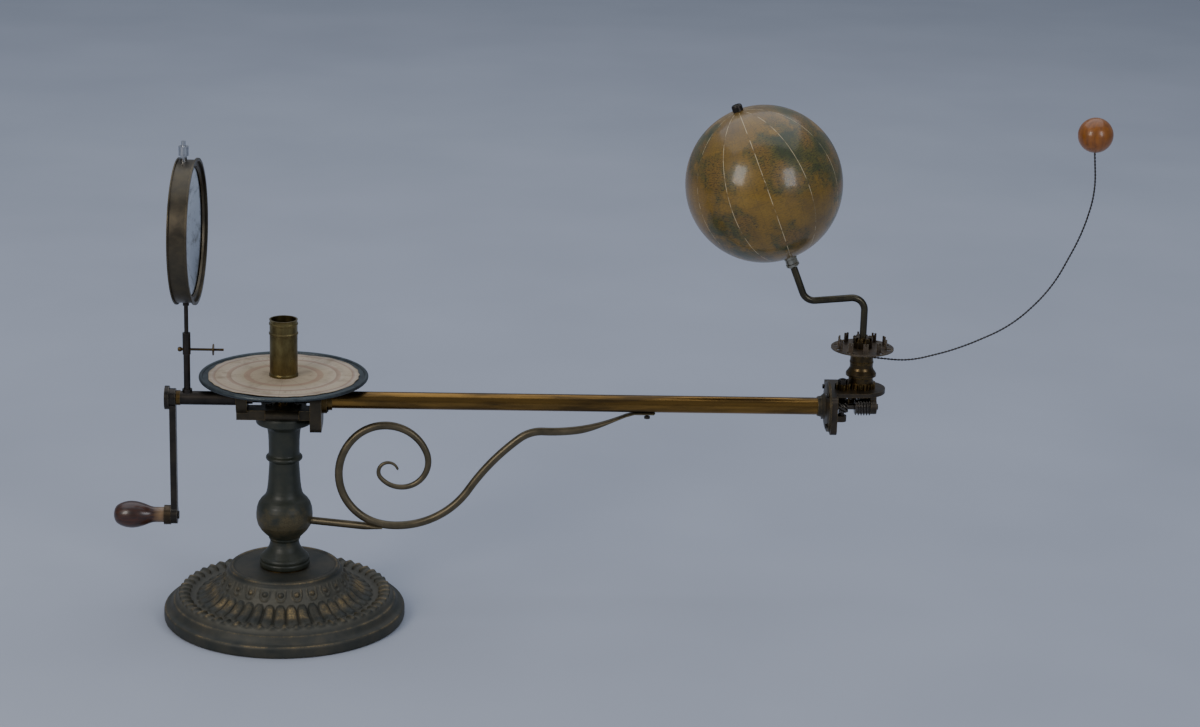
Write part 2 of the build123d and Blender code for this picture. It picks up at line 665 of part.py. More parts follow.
gear_angle = degrees(atan(arbor_y / -arbor_dx)) + 180
pinion_top = moon_gear_bottom + moon_gear_width
arbor = rod_z(arbor_radius, cock_low + 6 + end_play, pinion_top, arbor_x, arbor_y)
arbor += rod_z(arbor_pivot_radius, cock_low + 1.6, cock_low + 7, arbor_x, arbor_y)
parts["arbor"] = arbor + rod_z(arbor_pivot_radius, pinion_top - 1, pinion_top + 5.4, arbor_x, arbor_y)
arbor_gear = screw_gear(screw_pitch, screw_teeth, screw_width, arbor_radius, -90 + 180 / screw_teeth)
parts["arbor_screw_gear"] = Pos(arbor_x, arbor_y, shaft_height) * arbor_gear
parts["moon_pinion"] = Pos(arbor_x, arbor_y, moon_gear_bottom) * involute_gear(
    pinion_teeth, moon_module, moon_gear_width, arbor_radius, gear_angle - 180)
arbor_nut = hexagon(8.5, pinion_top, pinion_top + 4.4, arbor_x, arbor_y)
parts["arbor_nut"] = arbor_nut - rod_z(arbor_pivot_radius, pinion_top - 1, pinion_top + 6, arbor_x, arbor_y)
parts["moon_gear"] = Pos(earth_x, 0, moon_gear_bottom) * involute_gear(
    moon_teeth, moon_module, moon_gear_width, 8, gear_angle + 180 / moon_teeth)
parts["crown_disc"] = crown_disc()
parts["moon_wire"] = moon_wire()
parts["moon_sleeve"] = moon_sleeve() - parts["moon_wire"]
parts["moon_ball"] = Pos(earth_x + moon_dx, 0, moon_height) * Sphere(moon_radius) - parts["moon_wire"]


# Earth carrier and globe

globe_x = earth_x + globe_dx
spindle_top = crown_height + crown_thickness + 3


def along_axis(distance):
    """A point on the tilted axis, measured from the globe's centre towards its top pole."""
    tilt = radians(axis_tilt)
    return Vector(globe_x - distance * sin(tilt), 0, globe_height + distance * cos(tilt))


def on_axis(distance, solid):
    """Sets a solid made about Z onto the tilted axis."""
    return Pos(*along_axis(distance)) * Rot(0, -axis_tilt, 0) * solid


def globe_rod():
    """The cranked rod: up from the spindle, over, and up again along the Earth's axis."""
    low_distance = (rod_low_height - globe_height) / cos(radians(axis_tilt))
    ferrule_foot = -globe_radius - 12
    points = [Vector(earth_x, 0, spindle_top), Vector(earth_x, 0, rod_bend_height),
              along_axis(low_distance), along_axis(ferrule_foot)]
    path = FilletPolyline(*points, radius=rod_bend_radius)
    rod = sweep(Plane(origin=path @ 0, z_dir=path % 0) * Circle(rod_radius), path=path)
    pin_length = 2 * globe_radius + 12 + 6
    return rod + on_axis(ferrule_foot, Pos(0, 0, pin_length / 2) * Cylinder(globe_pin_radius, pin_length))


def globe():
    """The hollow ball, bored through both poles."""
    ball = Sphere(globe_radius) - Sphere(globe_radius - globe_wall)
    return on_axis(0, ball - Cylinder(globe_pin_radius + 3, 3 * globe_radius))


core_half = globe_radius - 0.3
planet_low = shaft_height - planet_wheel_width / 2
tail_radius, tail_foot, shoulder = 3.4, planet_low - 7, planet_low + 0.4
parts["earth_spindle"] = turned([(0, tail_foot), (tail_radius, tail_foot), (tail_radius, shoulder),
                                 (earth_spindle_radius, shoulder), (earth_spindle_radius, spindle_top),
                                 (0, spindle_top)], at=(earth_x, 0))
end_lead_angle = degrees(atan(end_module / (2 * end_worm_pitch)))
planet_wheel = Pos(earth_x, 0, shaft_height) * slanted_wheel(
    wheel_teeth, end_module, end_lead_angle, planet_wheel_width, earth_spindle_radius)
planet_wheel += tube_z(8, earth_spindle_radius, shaft_height + planet_wheel_width / 2,
                       bush_low - end_play, earth_x)
parts["planet_wheel"] = planet_wheel
planet_nut = hexagon(11, planet_low - 6, planet_low, earth_x)
parts["planet_nut"] = planet_nut - rod_z(tail_radius, tail_foot, planet_low + 1, earth_x)
collar = tube_z(10, rod_radius, spindle_top, spindle_top + 8, earth_x)
collar += tube_z(10, earth_spindle_radius, crown_height + crown_thickness + end_play, spindle_top, earth_x)
notches = [Pos(earth_x, 0, spindle_top + 8) * Rot(0, 0, a) * Pos(9, 0, 0) * Box(5, 3, 7) for a in around(8)]
parts["rod_collar"] = collar - notches
parts["globe_rod"] = globe_rod()
parts["globe_ferrule"] = on_axis(-globe_radius - running, turned(
    [(globe_pin_radius, 0), (6.8, 0), (6.8, -3), (6.2, -3.6), (6.2, -8), (6.8, -8.6), (6.8, -11),
     (5, -12.5), (rod_radius, -12.5), (rod_radius, -11.9), (globe_pin_radius, -11.9)]))
parts["globe"] = globe()
parts["globe_core"] = on_axis(0, Cylinder(globe_pin_radius + 3, 2 * core_half)
                              - Cylinder(globe_pin_radius + running, 3 * globe_radius))
nut_profile = [(globe_pin_radius, 0.15), (5.4, 0.15), (5.4, 5.2), (4.4, 6.6), (globe_pin_radius, 6.6)]
parts["pole_nut"] = on_axis(globe_radius - 0.1, turned(nut_profile))


# Reflector on its post

def on_mirror(solid):
    """Sets a solid turned about Z onto the reflector's level axis, open side towards +X."""
    swing = Pos(post_x, shaft_y, 0) * Rot(0, 0, mirror_swing)
    return swing * Pos(mirror_x - post_x, 0, mirror_height) * Rot(0, 90, 0) * solid


def mirror_pan():
    """A shallow spun pan with a wide back flange and a rolled lip."""
    outer, wall, depth = mirror_radius, mirror_wall, mirror_depth
    body = turned([(0, 0), (outer, 0), (outer, wall), (outer - 2, wall), (outer - 2, depth - 1.6),
                   (outer, depth - 1.6), (outer, depth), (outer - 2 - wall, depth),
                   (outer - 2 - wall, wall), (0, wall)])
    pan = on_mirror(body)
    return pan - rod_z(stem_radius + running, 300, mirror_height, post_x, shaft_y)


def mirror_glass():
    """A concave silvered glass whose focus is the candle flame."""
    curve = 2 * mirror_focus
    back = mirror_wall
    sag = curve - sqrt(curve**2 - glass_radius**2)
    inner = ThreePointArc((0, back + glass_thickness), (glass_radius / 2, back + glass_thickness + sag / 4),
                          (glass_radius, back + glass_thickness + sag))
    outer = ThreePointArc((0, back), (glass_radius / 2, back + sag / 4), (glass_radius, back + sag))
    sides = Line((0, back), (0, back + glass_thickness)) + Line(outer @ 1, inner @ 1)
    edges = inner.edges() + outer.edges() + sides.edges()
    return on_mirror(revolve(make_face([Rot(90, 0, 0) * edge for edge in edges]), Axis.Z))


sag_edge = 2 * mirror_focus - sqrt(4 * mirror_focus**2 - glass_radius**2) + mirror_wall + glass_thickness
mirror_low = mirror_height - mirror_radius + 2
mirror_high = mirror_height + mirror_radius - 2
pan_inside = mirror_radius - 2 - mirror_wall
parts["mirror_pan"] = mirror_pan()
parts["mirror_glass"] = mirror_glass()
ring_top = sag_edge + 1.8
parts["mirror_ring"] = on_mirror(turned([(glass_radius - 2.5, sag_edge), (pan_inside, sag_edge),
                                         (pan_inside, ring_top), (glass_radius - 1.5, ring_top)]))
mirror_stud = rod_z(2.1, mirror_high, mirror_high + 20, post_x, shaft_y)
mirror_stud += rod_z(3.2, mirror_high, mirror_high + 5.5, post_x, shaft_y)
parts["mirror_nut"] = [mirror_stud - parts["mirror_pan"],
                       tube_z(5, 2.1, mirror_high + 5.5, mirror_high + 15, post_x, shaft_y)]
stem_foot = cross_pin_height + cross_pin_radius + end_play
parts["mirror_stem"] = rod_z(stem_radius, stem_foot, mirror_low + 2.4, post_x, shaft_y) + rod_z(
    3.2, mirror_low - 5, mirror_low - end_play, post_x, shaft_y)


def mirror_post():
    """The post soldered to the sleeve, drilled for the stem and for the cross pin."""
    post = rod_z(post_radius, shaft_height, cross_pin_height - 5, post_x, shaft_y)
    post += rod_z(post_socket_radius, cross_pin_height - 5, post_socket_top, post_x, shaft_y)
    post += rod_z(5, shaft_height + 3, shaft_height + 9.5, post_x, shaft_y)
    post -= rod_x(sleeve_radius, post_x - 20, post_x + 20)
    post -= rod_z(stem_radius + running, cross_pin_height, post_socket_top + 1, post_x, shaft_y)
    return post - rod_x(cross_pin_radius + running, post_x - 20, post_x + 20, z=cross_pin_height)


parts["mirror_post"] = mirror_post()


def cross_pin():
    """The pin through the post, turned in one piece with its knob and its stop disc."""
    knob, disc, thin = post_socket_radius + 5.1, cross_pin_disc, cross_pin_radius
    outline = [(0, -knob), (1.5, -knob + 0.3), (2.3, -knob + 1.2), (2.5, -knob + 2.5), (2.1, -knob + 3.8),
               (thin, -knob + 4.7), (thin, 26), (disc, 26), (disc, 27.2), (thin, 27.2), (thin, 37), (0, 37)]
    return Pos(post_x, shaft_y, cross_pin_height) * Rot(0, 90, 0) * turned(outline)


parts["cross_pin"] = cross_pin()


# Scroll bracket and strut

bracket_lug_low = shaft_height - arm_radius - 4.5
bracket_screw_x = scroll_start[0] + 17


def scroll_line(samples=6):
    """Points and headings along the chain of tangent arcs that the scroll follows."""
    x, z = scroll_start
    heading = radians(scroll_heading)
    line = [(x, z, heading)]
    for radius, turn in scroll_arcs:
        step = radians(turn) / samples
        chord = 2 * radius * sin(abs(step) / 2)
        for _ in range(samples):
            x += chord * cos(heading + step / 2)
            z += chord * sin(heading + step / 2)
            heading += step
            line.append((x, z, heading))
    return line


def scroll_bracket():
    """The wrought scroll: a flat bar that thins towards its rolled tip, with a saddle lug."""
    line = scroll_line()
    count = len(line) - 1
    left, right = [], []
    for k, (x, z, heading) in enumerate(line):
        share = max(0.0, k / count - 0.6) / 0.4
        half = (scroll_thickness + (scroll_tip - scroll_thickness) * share) / 2
        left.append((x - half * sin(heading), z + half * cos(heading)))
        right.append((x + half * sin(heading), z - half * cos(heading)))
    edges = Spline(left).edges() + Spline(right).edges()
    edges += Line(left[0], right[0]).edges() + Line(left[-1], right[-1]).edges()
    face = make_face([Rot(90, 0, 0) * edge for edge in edges])
    bar = Pos(0, shaft_y + scroll_width / 2, 0) * extrude(face, scroll_width, dir=(0, -1, 0))
    low = bracket_lug_low
    lug = block(scroll_start[0] - 8, scroll_start[0] + 26, shaft_y - 5.5, shaft_y + 5.5, low, low + 6.5)
    bar += fillet(lug.edges().filter_by(Axis.Y), 1)
    bar -= rod_x(arm_radius, scroll_start[0] - 100, scroll_start[0] + 50)
    return bar - rod_z(1.5, low - 1, shaft_height, bracket_screw_x, shaft_y)


def strut():
    """The rod from the column's bulge to the foot of the scroll."""
    start = Vector(0, 0, strut_height)
    end = Vector(strut_end[0], shaft_y, strut_end[1])
    way = (end - start).normalized()
    buried = 20
    length = (end - start).length - buried
    solid = Plane(origin=start + way * buried, z_dir=way) * Pos(0, 0, length / 2) * Cylinder(strut_radius, length)
    pieces = solid - parts["column"] - parts["scroll_bracket"]
    return max(pieces.solids(), key=lambda piece: piece.volume)


parts["scroll_bracket"] = scroll_bracket()
parts["scroll_strut"] = strut()
bracket_screw = rod_z(1.5, bracket_lug_low, shaft_height - arm_radius + 1, bracket_screw_x, shaft_y)
bracket_screw += rod_z(3, bracket_lug_low - 2.2, bracket_lug_low, bracket_screw_x, shaft_y)
parts["arm_tube"] -= bracket_screw
parts["carriage_screws"] = frame_screws() + flange_screws() + [bracket_screw]

os.makedirs("parts", exist_ok=True)
for name, shape in parts.items():
    if isinstance(shape, list):
        shape = Compound(children=shape)
    export_step(shape, f"parts/{name}.step")
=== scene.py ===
import bpy
import numpy as np
from mathutils import Matrix, Vector


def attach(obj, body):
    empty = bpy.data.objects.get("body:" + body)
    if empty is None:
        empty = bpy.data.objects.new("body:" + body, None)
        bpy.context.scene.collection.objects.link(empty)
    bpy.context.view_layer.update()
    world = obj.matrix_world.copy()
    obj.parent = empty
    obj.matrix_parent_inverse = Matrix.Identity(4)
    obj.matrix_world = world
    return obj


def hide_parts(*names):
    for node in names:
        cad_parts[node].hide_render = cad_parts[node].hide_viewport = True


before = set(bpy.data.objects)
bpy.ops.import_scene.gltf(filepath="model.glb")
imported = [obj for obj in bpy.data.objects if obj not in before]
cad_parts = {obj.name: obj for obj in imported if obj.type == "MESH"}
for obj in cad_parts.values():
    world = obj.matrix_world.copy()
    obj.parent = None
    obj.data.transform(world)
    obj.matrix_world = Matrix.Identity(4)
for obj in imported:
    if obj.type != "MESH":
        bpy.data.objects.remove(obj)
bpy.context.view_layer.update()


# Camera, floor and light.
# The instrument stands on a plain pale board that runs on behind it. Two tall soft windows light it from the
# left and the right front, and a broad soft light above fills the shadows.

# Points are worked out in millimetres and divided by this when they go into a mesh.
mm_per_m = 1000


def linear(colour):
    """Turns an sRGB hex colour into linear red, green, blue and alpha, by the sRGB curve."""
    value = np.array([int(colour[k:k + 2], 16) for k in (1, 3, 5)]) / 255
    value = np.where(value <= 0.04045, value / 12.92, ((value + 0.055) / 1.055) ** 2.4)
    return (*value.tolist(), 1.0)


def add(tree, kind, values={}, links={}, stops=(), **settings):
    """Adds a shader node: its settings, the values of its inputs, the links into it and a ramp's stops."""
    node = tree.nodes.new("ShaderNode" + kind)
    for key, value in settings.items():
        setattr(node, key, value)
    for key, value in values.items():
        node.inputs[key].default_value = value
    for key, source in links.items():
        tree.links.new(source, node.inputs[key])
    for k, (place, colour) in enumerate(stops):
        element = node.color_ramp.elements[k] if k < 2 else node.color_ramp.elements.new(place)
        element.position, element.color = place, linear(colour)
    return node


def finish(name):
    """A new material with its node tree, its shader and the object coordinates of what it covers."""
    material = bpy.data.materials.new(name)
    material.use_nodes = True
    tree = material.node_tree
    return material, tree, tree.nodes["Principled BSDF"], add(tree, "TexCoord").outputs["Object"]


def noise(tree, place, size, detail, roughness=0.5, distortion=0.0):
    """Noise whose features are about so many millimetres across."""
    values = {"Scale": mm_per_m / size, "Detail": detail, "Roughness": roughness, "Distortion": distortion}
    return add(tree, "TexNoise", values, {"Vector": place}).outputs["Fac"]


def calc(tree, operation, *terms, clamp=False):
    """One step of arithmetic on numbers and on what other nodes give."""
    values = {k: term for k, term in enumerate(terms) if isinstance(term, (int, float))}
    links = {k: term for k, term in enumerate(terms) if k not in values}
    return add(tree, "Math", values, links, operation=operation, use_clamp=clamp).outputs[0]


def remap(tree, value, low, high, to_low=0.0, to_high=1.0):
    """A value carried from one range to another, and held at the ends of it."""
    ends = {"From Min": low, "From Max": high, "To Min": to_low, "To Max": to_high}
    return add(tree, "MapRange", ends, {"Value": value}).outputs["Result"]


def ramp(tree, value, *stops):
    """The colour that a value has on a ramp of (place, colour) stops."""
    return add(tree, "ValToRGB", links={"Fac": value}, stops=stops).outputs["Color"]


def blend(tree, share, first, second):
    """The first colour where the share is 0 and the second where it is 1, each a hex colour or another node's."""
    ends = {6: first, 7: second}
    values = {k: linear(colour) for k, colour in ends.items() if isinstance(colour, str)}
    links = {k: colour for k, colour in ends.items() if k not in values}
    return add(tree, "Mix", values, {0: share, **links}, data_type="RGBA").outputs[2]


def bump(tree, height, strength, depth, **links):
    """The normal of a relief so many millimetres deep."""
    values = {"Strength": strength, "Distance": depth / mm_per_m}
    return add(tree, "Bump", values, {"Height": height, **links}).outputs["Normal"]


def feed(tree, shader, inputs):
    """Gives a shader its inputs: a number is set, and what another node gives is linked."""
    for key, value in inputs.items():
        if isinstance(value, (int, float)):
            shader.inputs[key].default_value = value
        else:
            tree.links.new(value, shader.inputs[key])


def surface(name, points, rows_close=False, columns_close=True, marks={}):
    """A mesh of quads over a grid of points (rows, columns, 3), closed either way where its edges meet.
    Each mark is an array of one number a point, kept as an attribute of that name."""
    rows, columns = points.shape[:2]
    index = np.arange(rows * columns).reshape(rows, columns)
    if rows_close:
        index = np.concatenate([index, index[:1]])
    if columns_close:
        index = np.concatenate([index, index[:, :1]], axis=1)
    quads = np.stack([index[:-1, :-1], index[:-1, 1:], index[1:, 1:], index[1:, :-1]], axis=-1).reshape(-1, 4)
    mesh = bpy.data.meshes.new(name)
    mesh.vertices.add(rows * columns)
    mesh.vertices.foreach_set("co", points.astype(np.float32).ravel())
    mesh.loops.add(quads.size)
    mesh.loops.foreach_set("vertex_index", quads.astype(np.int32).ravel())
    mesh.polygons.add(len(quads))
    mesh.polygons.foreach_set("loop_start", np.arange(0, quads.size, 4, dtype=np.int32))
    mesh.polygons.foreach_set("use_smooth", np.ones(len(quads), dtype=bool))
    mesh.update(calc_edges=True)
    for mark, numbers in marks.items():
        mesh.attributes.new(mark, "FLOAT", "POINT").data.foreach_set("value", numbers.astype(np.float32).ravel())
    piece = bpy.data.objects.new(name, mesh)
    bpy.context.collection.objects.link(piece)
    return piece


def place_camera():
    """Sets the camera where the photograph was taken from: place, yaw, pitch and roll from its known lines."""
    place = Vector((0.18605, -2.73144, 1.07759))
    yaw, pitch, roll = np.radians([2.82, 16.335, 1.596])
    ahead = Vector((np.sin(yaw) * np.cos(pitch), np.cos(yaw) * np.cos(pitch), -np.sin(pitch)))
    level = Vector((np.cos(yaw), -np.sin(yaw), 0))
    above = level.cross(ahead)
    right = level * np.cos(roll) + above * np.sin(roll)
    up = above * np.cos(roll) - level * np.sin(roll)
    camera = bpy.data.objects.new("camera", bpy.data.cameras.new("camera"))
    camera.data.sensor_width, camera.data.lens = 36, 84
    camera.matrix_world = Matrix.Translation(place) @ Matrix((right, up, -ahead)).transposed().to_4x4()
    bpy.context.collection.objects.link(camera)
    bpy.context.scene.camera = camera


def soft_light(name, place, towards, width, height, power, colour):
    """A rectangular window of light that faces a point."""
    lamp = bpy.data.lights.new(name, "AREA")
    lamp.shape, lamp.size, lamp.size_y, lamp.energy = "RECTANGLE", width, height, power
    lamp.color = linear(colour)[:3]
    light = bpy.data.objects.new(name, lamp)
    light.location = place
    light.rotation_euler = (Vector(towards) - Vector(place)).to_track_quat("-Z", "Y").to_euler()
    bpy.context.collection.objects.link(light)


place_camera()
middle = (0.3, 0.0, 0.25)
soft_light("window_left", (-1.5, -2.0, 1.5), middle, 0.9, 1.3, 29, "#fff8f0")
soft_light("window_right", (1.9, -2.2, 1.4), middle, 0.8, 1.2, 18, "#f4f7ff")
soft_light("sky_above", (0.1, 1.2, 3.2), (0.1, 1.2, 0.0), 5.0, 4.4, 78, "#eef3ff")
sky = bpy.data.worlds.new("studio")
bpy.context.scene.world = sky
sky.use_nodes = True
sky.node_tree.nodes["Background"].inputs["Color"].default_value = linear("#a9b0bd")
sky.node_tree.nodes["Background"].inputs["Strength"].default_value = 0.5

# Matt painted board: no gloss, and only a faint unevenness from the brush, 400 mm across.
board_paint, tree, shader, place = finish("board_paint")
tone = ramp(tree, noise(tree, place, 400, 3.0), (0.3, "#a9afbb"), (0.7, "#b0b6c2"))
feed(tree, shader, {"Base Color": tone, "Roughness": 0.9, "Specular IOR Level": 0.2})
floor_half, floor_back = 9.0, 2.0
reach = np.linspace(-floor_half, floor_half, 7)
floor_points = np.stack(np.meshgrid(reach, reach + floor_back, [0.0], indexing="xy"), axis=-1)[:, :, 0]
floor = surface("floor", floor_points, columns_close=False)
floor.data.materials.append(board_paint)


# The round foot: a heavy iron casting with an ornamental top, gadroons between a leaf border and a band of buds.
# It was cast in a sand mould and painted a bronzed green-black, and what stands proud has rubbed to metal.

def lengths_along(points):
    """The distance along a line of points, from its start to each of them."""
    return np.concatenate([[0], np.cumsum(np.linalg.norm(np.diff(points, axis=0), axis=1))])


def points_at(points, lengths, distances):
    """The points of a line at distances along it."""
    return np.stack([np.interp(distances, lengths, points[:, k]) for k in range(points.shape[1])], axis=-1)


def spun(outline, turn):
    """The radius and the height of each point of an outline, at each angle of a turn."""
    return (np.broadcast_to(outline[:, k, None], (len(outline), len(turn))) for k in (0, 1))


def about_z(radius, angle, height):
    """Points at a radius, an angle and a height about the Z axis."""
    return np.stack([radius * np.cos(angle), radius * np.sin(angle), height], axis=-1)


def smooth(value, low, high):
    """A step from 0 at low to 1 at high, with no corner at either end."""
    share = np.clip((value - low) / (high - low), 0, 1)
    return share * share * (3 - 2 * share)


def base_outline():
    """The casting's outline as (radius, height) in mm, from the bore over the top, down the rim, and back under the
    foot through the hollow of the weight. Its top is cut in steps of 0.95 mm and eased over the closest points."""
    corners = np.array([
        (7.5, 54), (30, 54), (49.5, 54), (51.2, 54.1), (52.2, 54.8), (53.2, 55.7), (54.4, 55.95), (55.8, 55.5),
        (56.9, 54.2), (57.3, 53.0), (57.2, 51.8), (57.8, 50.9), (59.2, 50.2), (59.8, 49.0), (60.2, 46.8),
        (61.4, 44.0), (63.4, 41.0), (65.2, 39.2), (66.2, 36.6), (68.0, 33.6), (71.0, 29.8), (75.0, 26.0),
        (80.0, 22.8), (85.0, 21.2), (90.0, 21.0), (94.0, 21.8), (97.4, 23.6), (100.0, 25.2), (103.0, 26.2),
        (106.5, 26.1), (108.8, 24.8), (110.4, 22.6), (111.4, 20.9), (112.6, 20.3), (113.9, 19.9), (114.9, 18.9),
        (115.6, 17.2), (116.6, 15.2), (118.2, 13.5), (120.2, 12.7), (122.2, 12.3), (123.3, 11.7), (123.85, 10.6),
        (124.0, 9.0), (124.0, 2.4), (123.5, 0.9), (122.3, 0.0), (104.0, 0.0), (104.0, 13.0), (7.5, 13.0)], float)
    slope_start, rim_foot, spacing, easing = 2, 46, 0.95, 0.6
    lengths = lengths_along(corners)
    start, end = lengths[slope_start], lengths[rim_foot]
    distances = np.concatenate(
        [np.linspace(0, start, 4)[:-1], np.arange(start, end, spacing), lengths[rim_foot:]])
    outline = points_at(corners, lengths, distances)
    soft = outline.copy()
    shaped = slice(5, np.searchsorted(distances, end) - 3)
    for shift in (-1, 1):
        soft[shaped] += easing * (np.roll(outline, shift, axis=0)[shaped] - outline[shaped]) / 2
    return soft


def base_casting():
    """The outline turned about Z and raised along its own normal by the ornament: capsule-shaped gadroons, pointed
    leaf tips that lean on each other, and small buds in arches. Where the paint has rubbed off is marked rub, and
    what lies low between the ornaments is marked hollow."""
    outline = base_outline()
    turn = np.linspace(0, 2 * np.pi, 720, endpoint=False)
    radius, height = spun(outline, turn)
    along = np.roll(outline, -1, axis=0) - np.roll(outline, 1, axis=0)
    along /= np.maximum(np.hypot(along[:, 0], along[:, 1]), 1e-6)[:, None]
    out, up = -along[:, 1, None], along[:, 0, None]
    top = (height > 15) & (radius > 8)

    def across(count):
        """The distance in mm round the casting from the middle of the nearest of so many repeats."""
        pitch = 2 * np.pi / count
        return ((turn + pitch / 2) % pitch - pitch / 2)[None, :] * radius

    # Gadroons: each is straight for 6.4 mm either way from its middle, and rounded over 5 mm at its inner end and
    # 5 / 0.74 mm at its outer end. It is 6 mm wide either way at a radius of 78 mm, and stands 4.2 mm proud.
    gadroons, gadroon_rise, middle, straight, rounded, outer_stretch = 40, 4.2, 78.2, 6.4, 5.0, 0.74
    on_slope = top & (radius > 64) & (radius < 93)
    half = 6.0 * radius / 78
    end = np.maximum(np.abs(radius - middle) - straight, 0) * np.where(radius < middle, 1.0, outer_stretch)
    inside = 1 - np.abs(across(gadroons) / half) ** 2.5 - (end / rounded) ** 2
    gadroon = np.where(on_slope, np.sqrt(np.clip(inside, 0, 1)), 0)
    rise = gadroon_rise * gadroon
    rub = gadroon ** 3 * smooth(radius, 84, 77) * smooth(radius, 66, 71)

    # Leaf tips: their feet meet at the outer edge of the border, and their points lie 11.5 mm inside it.
    leaves, leaf_rise, leaf_foot, leaf_length = 54, 2.7, 108.4, 11.5
    tip = np.clip((leaf_foot - radius) / leaf_length, 0, 1)
    leaf_half = (1 - tip) * np.pi * 104 / leaves + 0.3
    leaf = np.clip(1 - np.abs(across(leaves)) / leaf_half, 0, 1) ** 0.75
    on_border = top & (radius > 96) & (radius < 109.4)
    leaf = np.where(on_border, leaf * smooth(radius, 109.4, 107.4) * smooth(radius, 96, 98.5), 0)
    rise = rise + leaf_rise * leaf
    rub = rub + 0.7 * smooth(leaf, 0.55, 0.95)

    # Buds: ovals half way up the steep band, each in an arch of 5 mm radius.
    buds, bud_rise, bud_height, arch_rise, arch_size = 24, 2.3, 44.0, 1.4, 5.0
    climb = (bud_height - height) / 0.9
    bud_across = across(buds)
    bud = np.clip(1 - (bud_across / 3.3) ** 2 - (climb / 3.1) ** 2, 0, 1)
    arch_radius = np.hypot(bud_across, np.maximum(climb * 0.9, climb * 0.2) - 0.5)
    arch = np.clip(1 - np.abs(arch_radius - arch_size) / 1.1, 0, 1)
    on_band = top & (radius > 59.4) & (radius < 66.5)
    band_edge = smooth(radius, 59.4, 60.4) * smooth(radius, 66.5, 65.2)
    rise = rise + np.where(on_band, (bud_rise * np.sqrt(bud) + arch_rise * arch) * band_edge, 0)
    rub = rub + np.where(on_band, 0.75 * bud + 0.25 * arch, 0)

    # The turned edges have rubbed too, each over about 0.75 mm.
    for ring, level, width in ((56.8, 54.3, 0.75), (53.6, 55.8, 0.8), (113.6, 20.0, 0.7), (122.9, 12.0, 0.75)):
        rub = rub + 0.7 * np.exp(-((radius - ring) ** 2 + (height - level) ** 2) / width ** 2)
    hollow = np.where(top, 1 - smooth(rise, 0.0, 1.6), 0) * smooth(radius, 58, 60) * smooth(radius, 112, 108)

    points = about_z(radius + out * rise, turn, height + up * rise) / mm_per_m
    return surface("cast_foot", points[::-1], rows_close=True,
                   marks={"rub": np.clip(rub, 0, 1)[::-1], "hollow": hollow[::-1]})


# Sand-cast iron in bronzed paint: dull green-black in 22 mm patches over a 1.6 mm sand grain, dusty in the hollows,
# with warm brassy metal on the worn heights.
bronzed_iron, tree, shader, place = finish("bronzed_cast_iron")
rub = add(tree, "Attribute", attribute_name="rub").outputs["Fac"]
hollow = add(tree, "Attribute", attribute_name="hollow").outputs["Fac"]
patches = noise(tree, place, 22, 6.0, 0.6)
sand = noise(tree, place, 1.6, 5.0, 0.7)
paint = ramp(tree, patches, (0.35, "#2d302b"), (0.5, "#393931"), (0.66, "#434035"))
dusty = blend(tree, calc(tree, "MULTIPLY", hollow, 0.55), paint, "#5d5a4e")
ragged = remap(tree, sand, 0.4, 0.62, 0.15, 1.1)
uneven = remap(tree, patches, 0.4, 0.58, 0.3, 1.0)
worn = calc(tree, "MULTIPLY", rub, calc(tree, "MULTIPLY", uneven, ragged), clamp=True)
bare = ramp(tree, patches, (0.4, "#6f6247"), (0.6, "#a48d60"))
feed(tree, shader, {
    "Base Color": blend(tree, worn, dusty, bare), "Metallic": remap(tree, worn, 0, 1, 0.25, 0.85),
    "Roughness": remap(tree, worn, 0, 1, 0.56, 0.36), "Normal": bump(tree, sand, 0.35, 0.4)})

foot = base_casting()
foot.data.materials.append(bronzed_iron)
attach(foot, "stand")
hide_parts("base_casting")


# Under the foot: an iron disc that closes the hollow against tipping, three screws, and the nut of the spindle.
# They are left as they came from the foundry and the lathe, and have gone dark with handling.

def near_edges(tree, size, far, near, most=1.0):
    """A number that grows to most along edges: how far a normal rounded over so many mm turns from the plain one."""
    rounded = add(tree, "Bevel", {"Radius": size / mm_per_m}, samples=4).outputs["Normal"]
    plain = add(tree, "NewGeometry").outputs["Normal"]
    alike = add(tree, "VectorMath", links={0: rounded, 1: plain}, operation="DOT_PRODUCT").outputs["Value"]
    return remap(tree, alike, far, near, 0.0, most)


def old_metal(name, body, shade, bare, patch, pit, edge, rough, metal=1.0, stretch=(1, 1, 1)):
    """A handled metal: two body tones in patches, bare metal rubbed out along its edges, and fine pits.
    patch, pit and edge are sizes in mm, rough the roughness of bare and of dull metal, and stretch draws the
    patches out along an axis. metal below 1 is how much a paint or a bronzing lets the metal show."""
    material, tree, shader, place = finish(name)
    drawn = add(tree, "Mapping", {"Scale": stretch}, {"Vector": place}).outputs["Vector"]
    patches = noise(tree, drawn, patch, 6.0, 0.62)
    pits = noise(tree, drawn, pit, 4.0, 0.6)
    tone = ramp(tree, patches, (0.36, body), (0.64, shade))
    broken = remap(tree, pits, 0.36, 0.58, 0.0, 1.1)
    rub = calc(tree, "MULTIPLY", near_edges(tree, edge, 0.99, 0.84), broken, clamp=True)
    feed(tree, shader, {
        "Base Color": blend(tree, rub, tone, bare), "Roughness": remap(tree, patches, 0.3, 0.7, *rough),
        "Metallic": remap(tree, rub, 0, 1, metal, 0.95) if metal < 1 else 1.0,
        "Normal": bump(tree, pits, 0.2, 0.2)})
    return material


def dress(material, *names):
    """Gives CAD nodes a material."""
    for name in names:
        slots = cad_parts[name].material_slots
        if not slots:
            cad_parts[name].data.materials.append(material)
        for slot in slots:
            slot.material = material


# Rough cast iron: grey, grainy at about a millimetre, with rust in the pores.
cast_iron = old_metal("bare_cast_iron", "#4a4744", "#5b4e44", "#8a8680", 14, 1.0, 0.8, (0.5, 0.75))
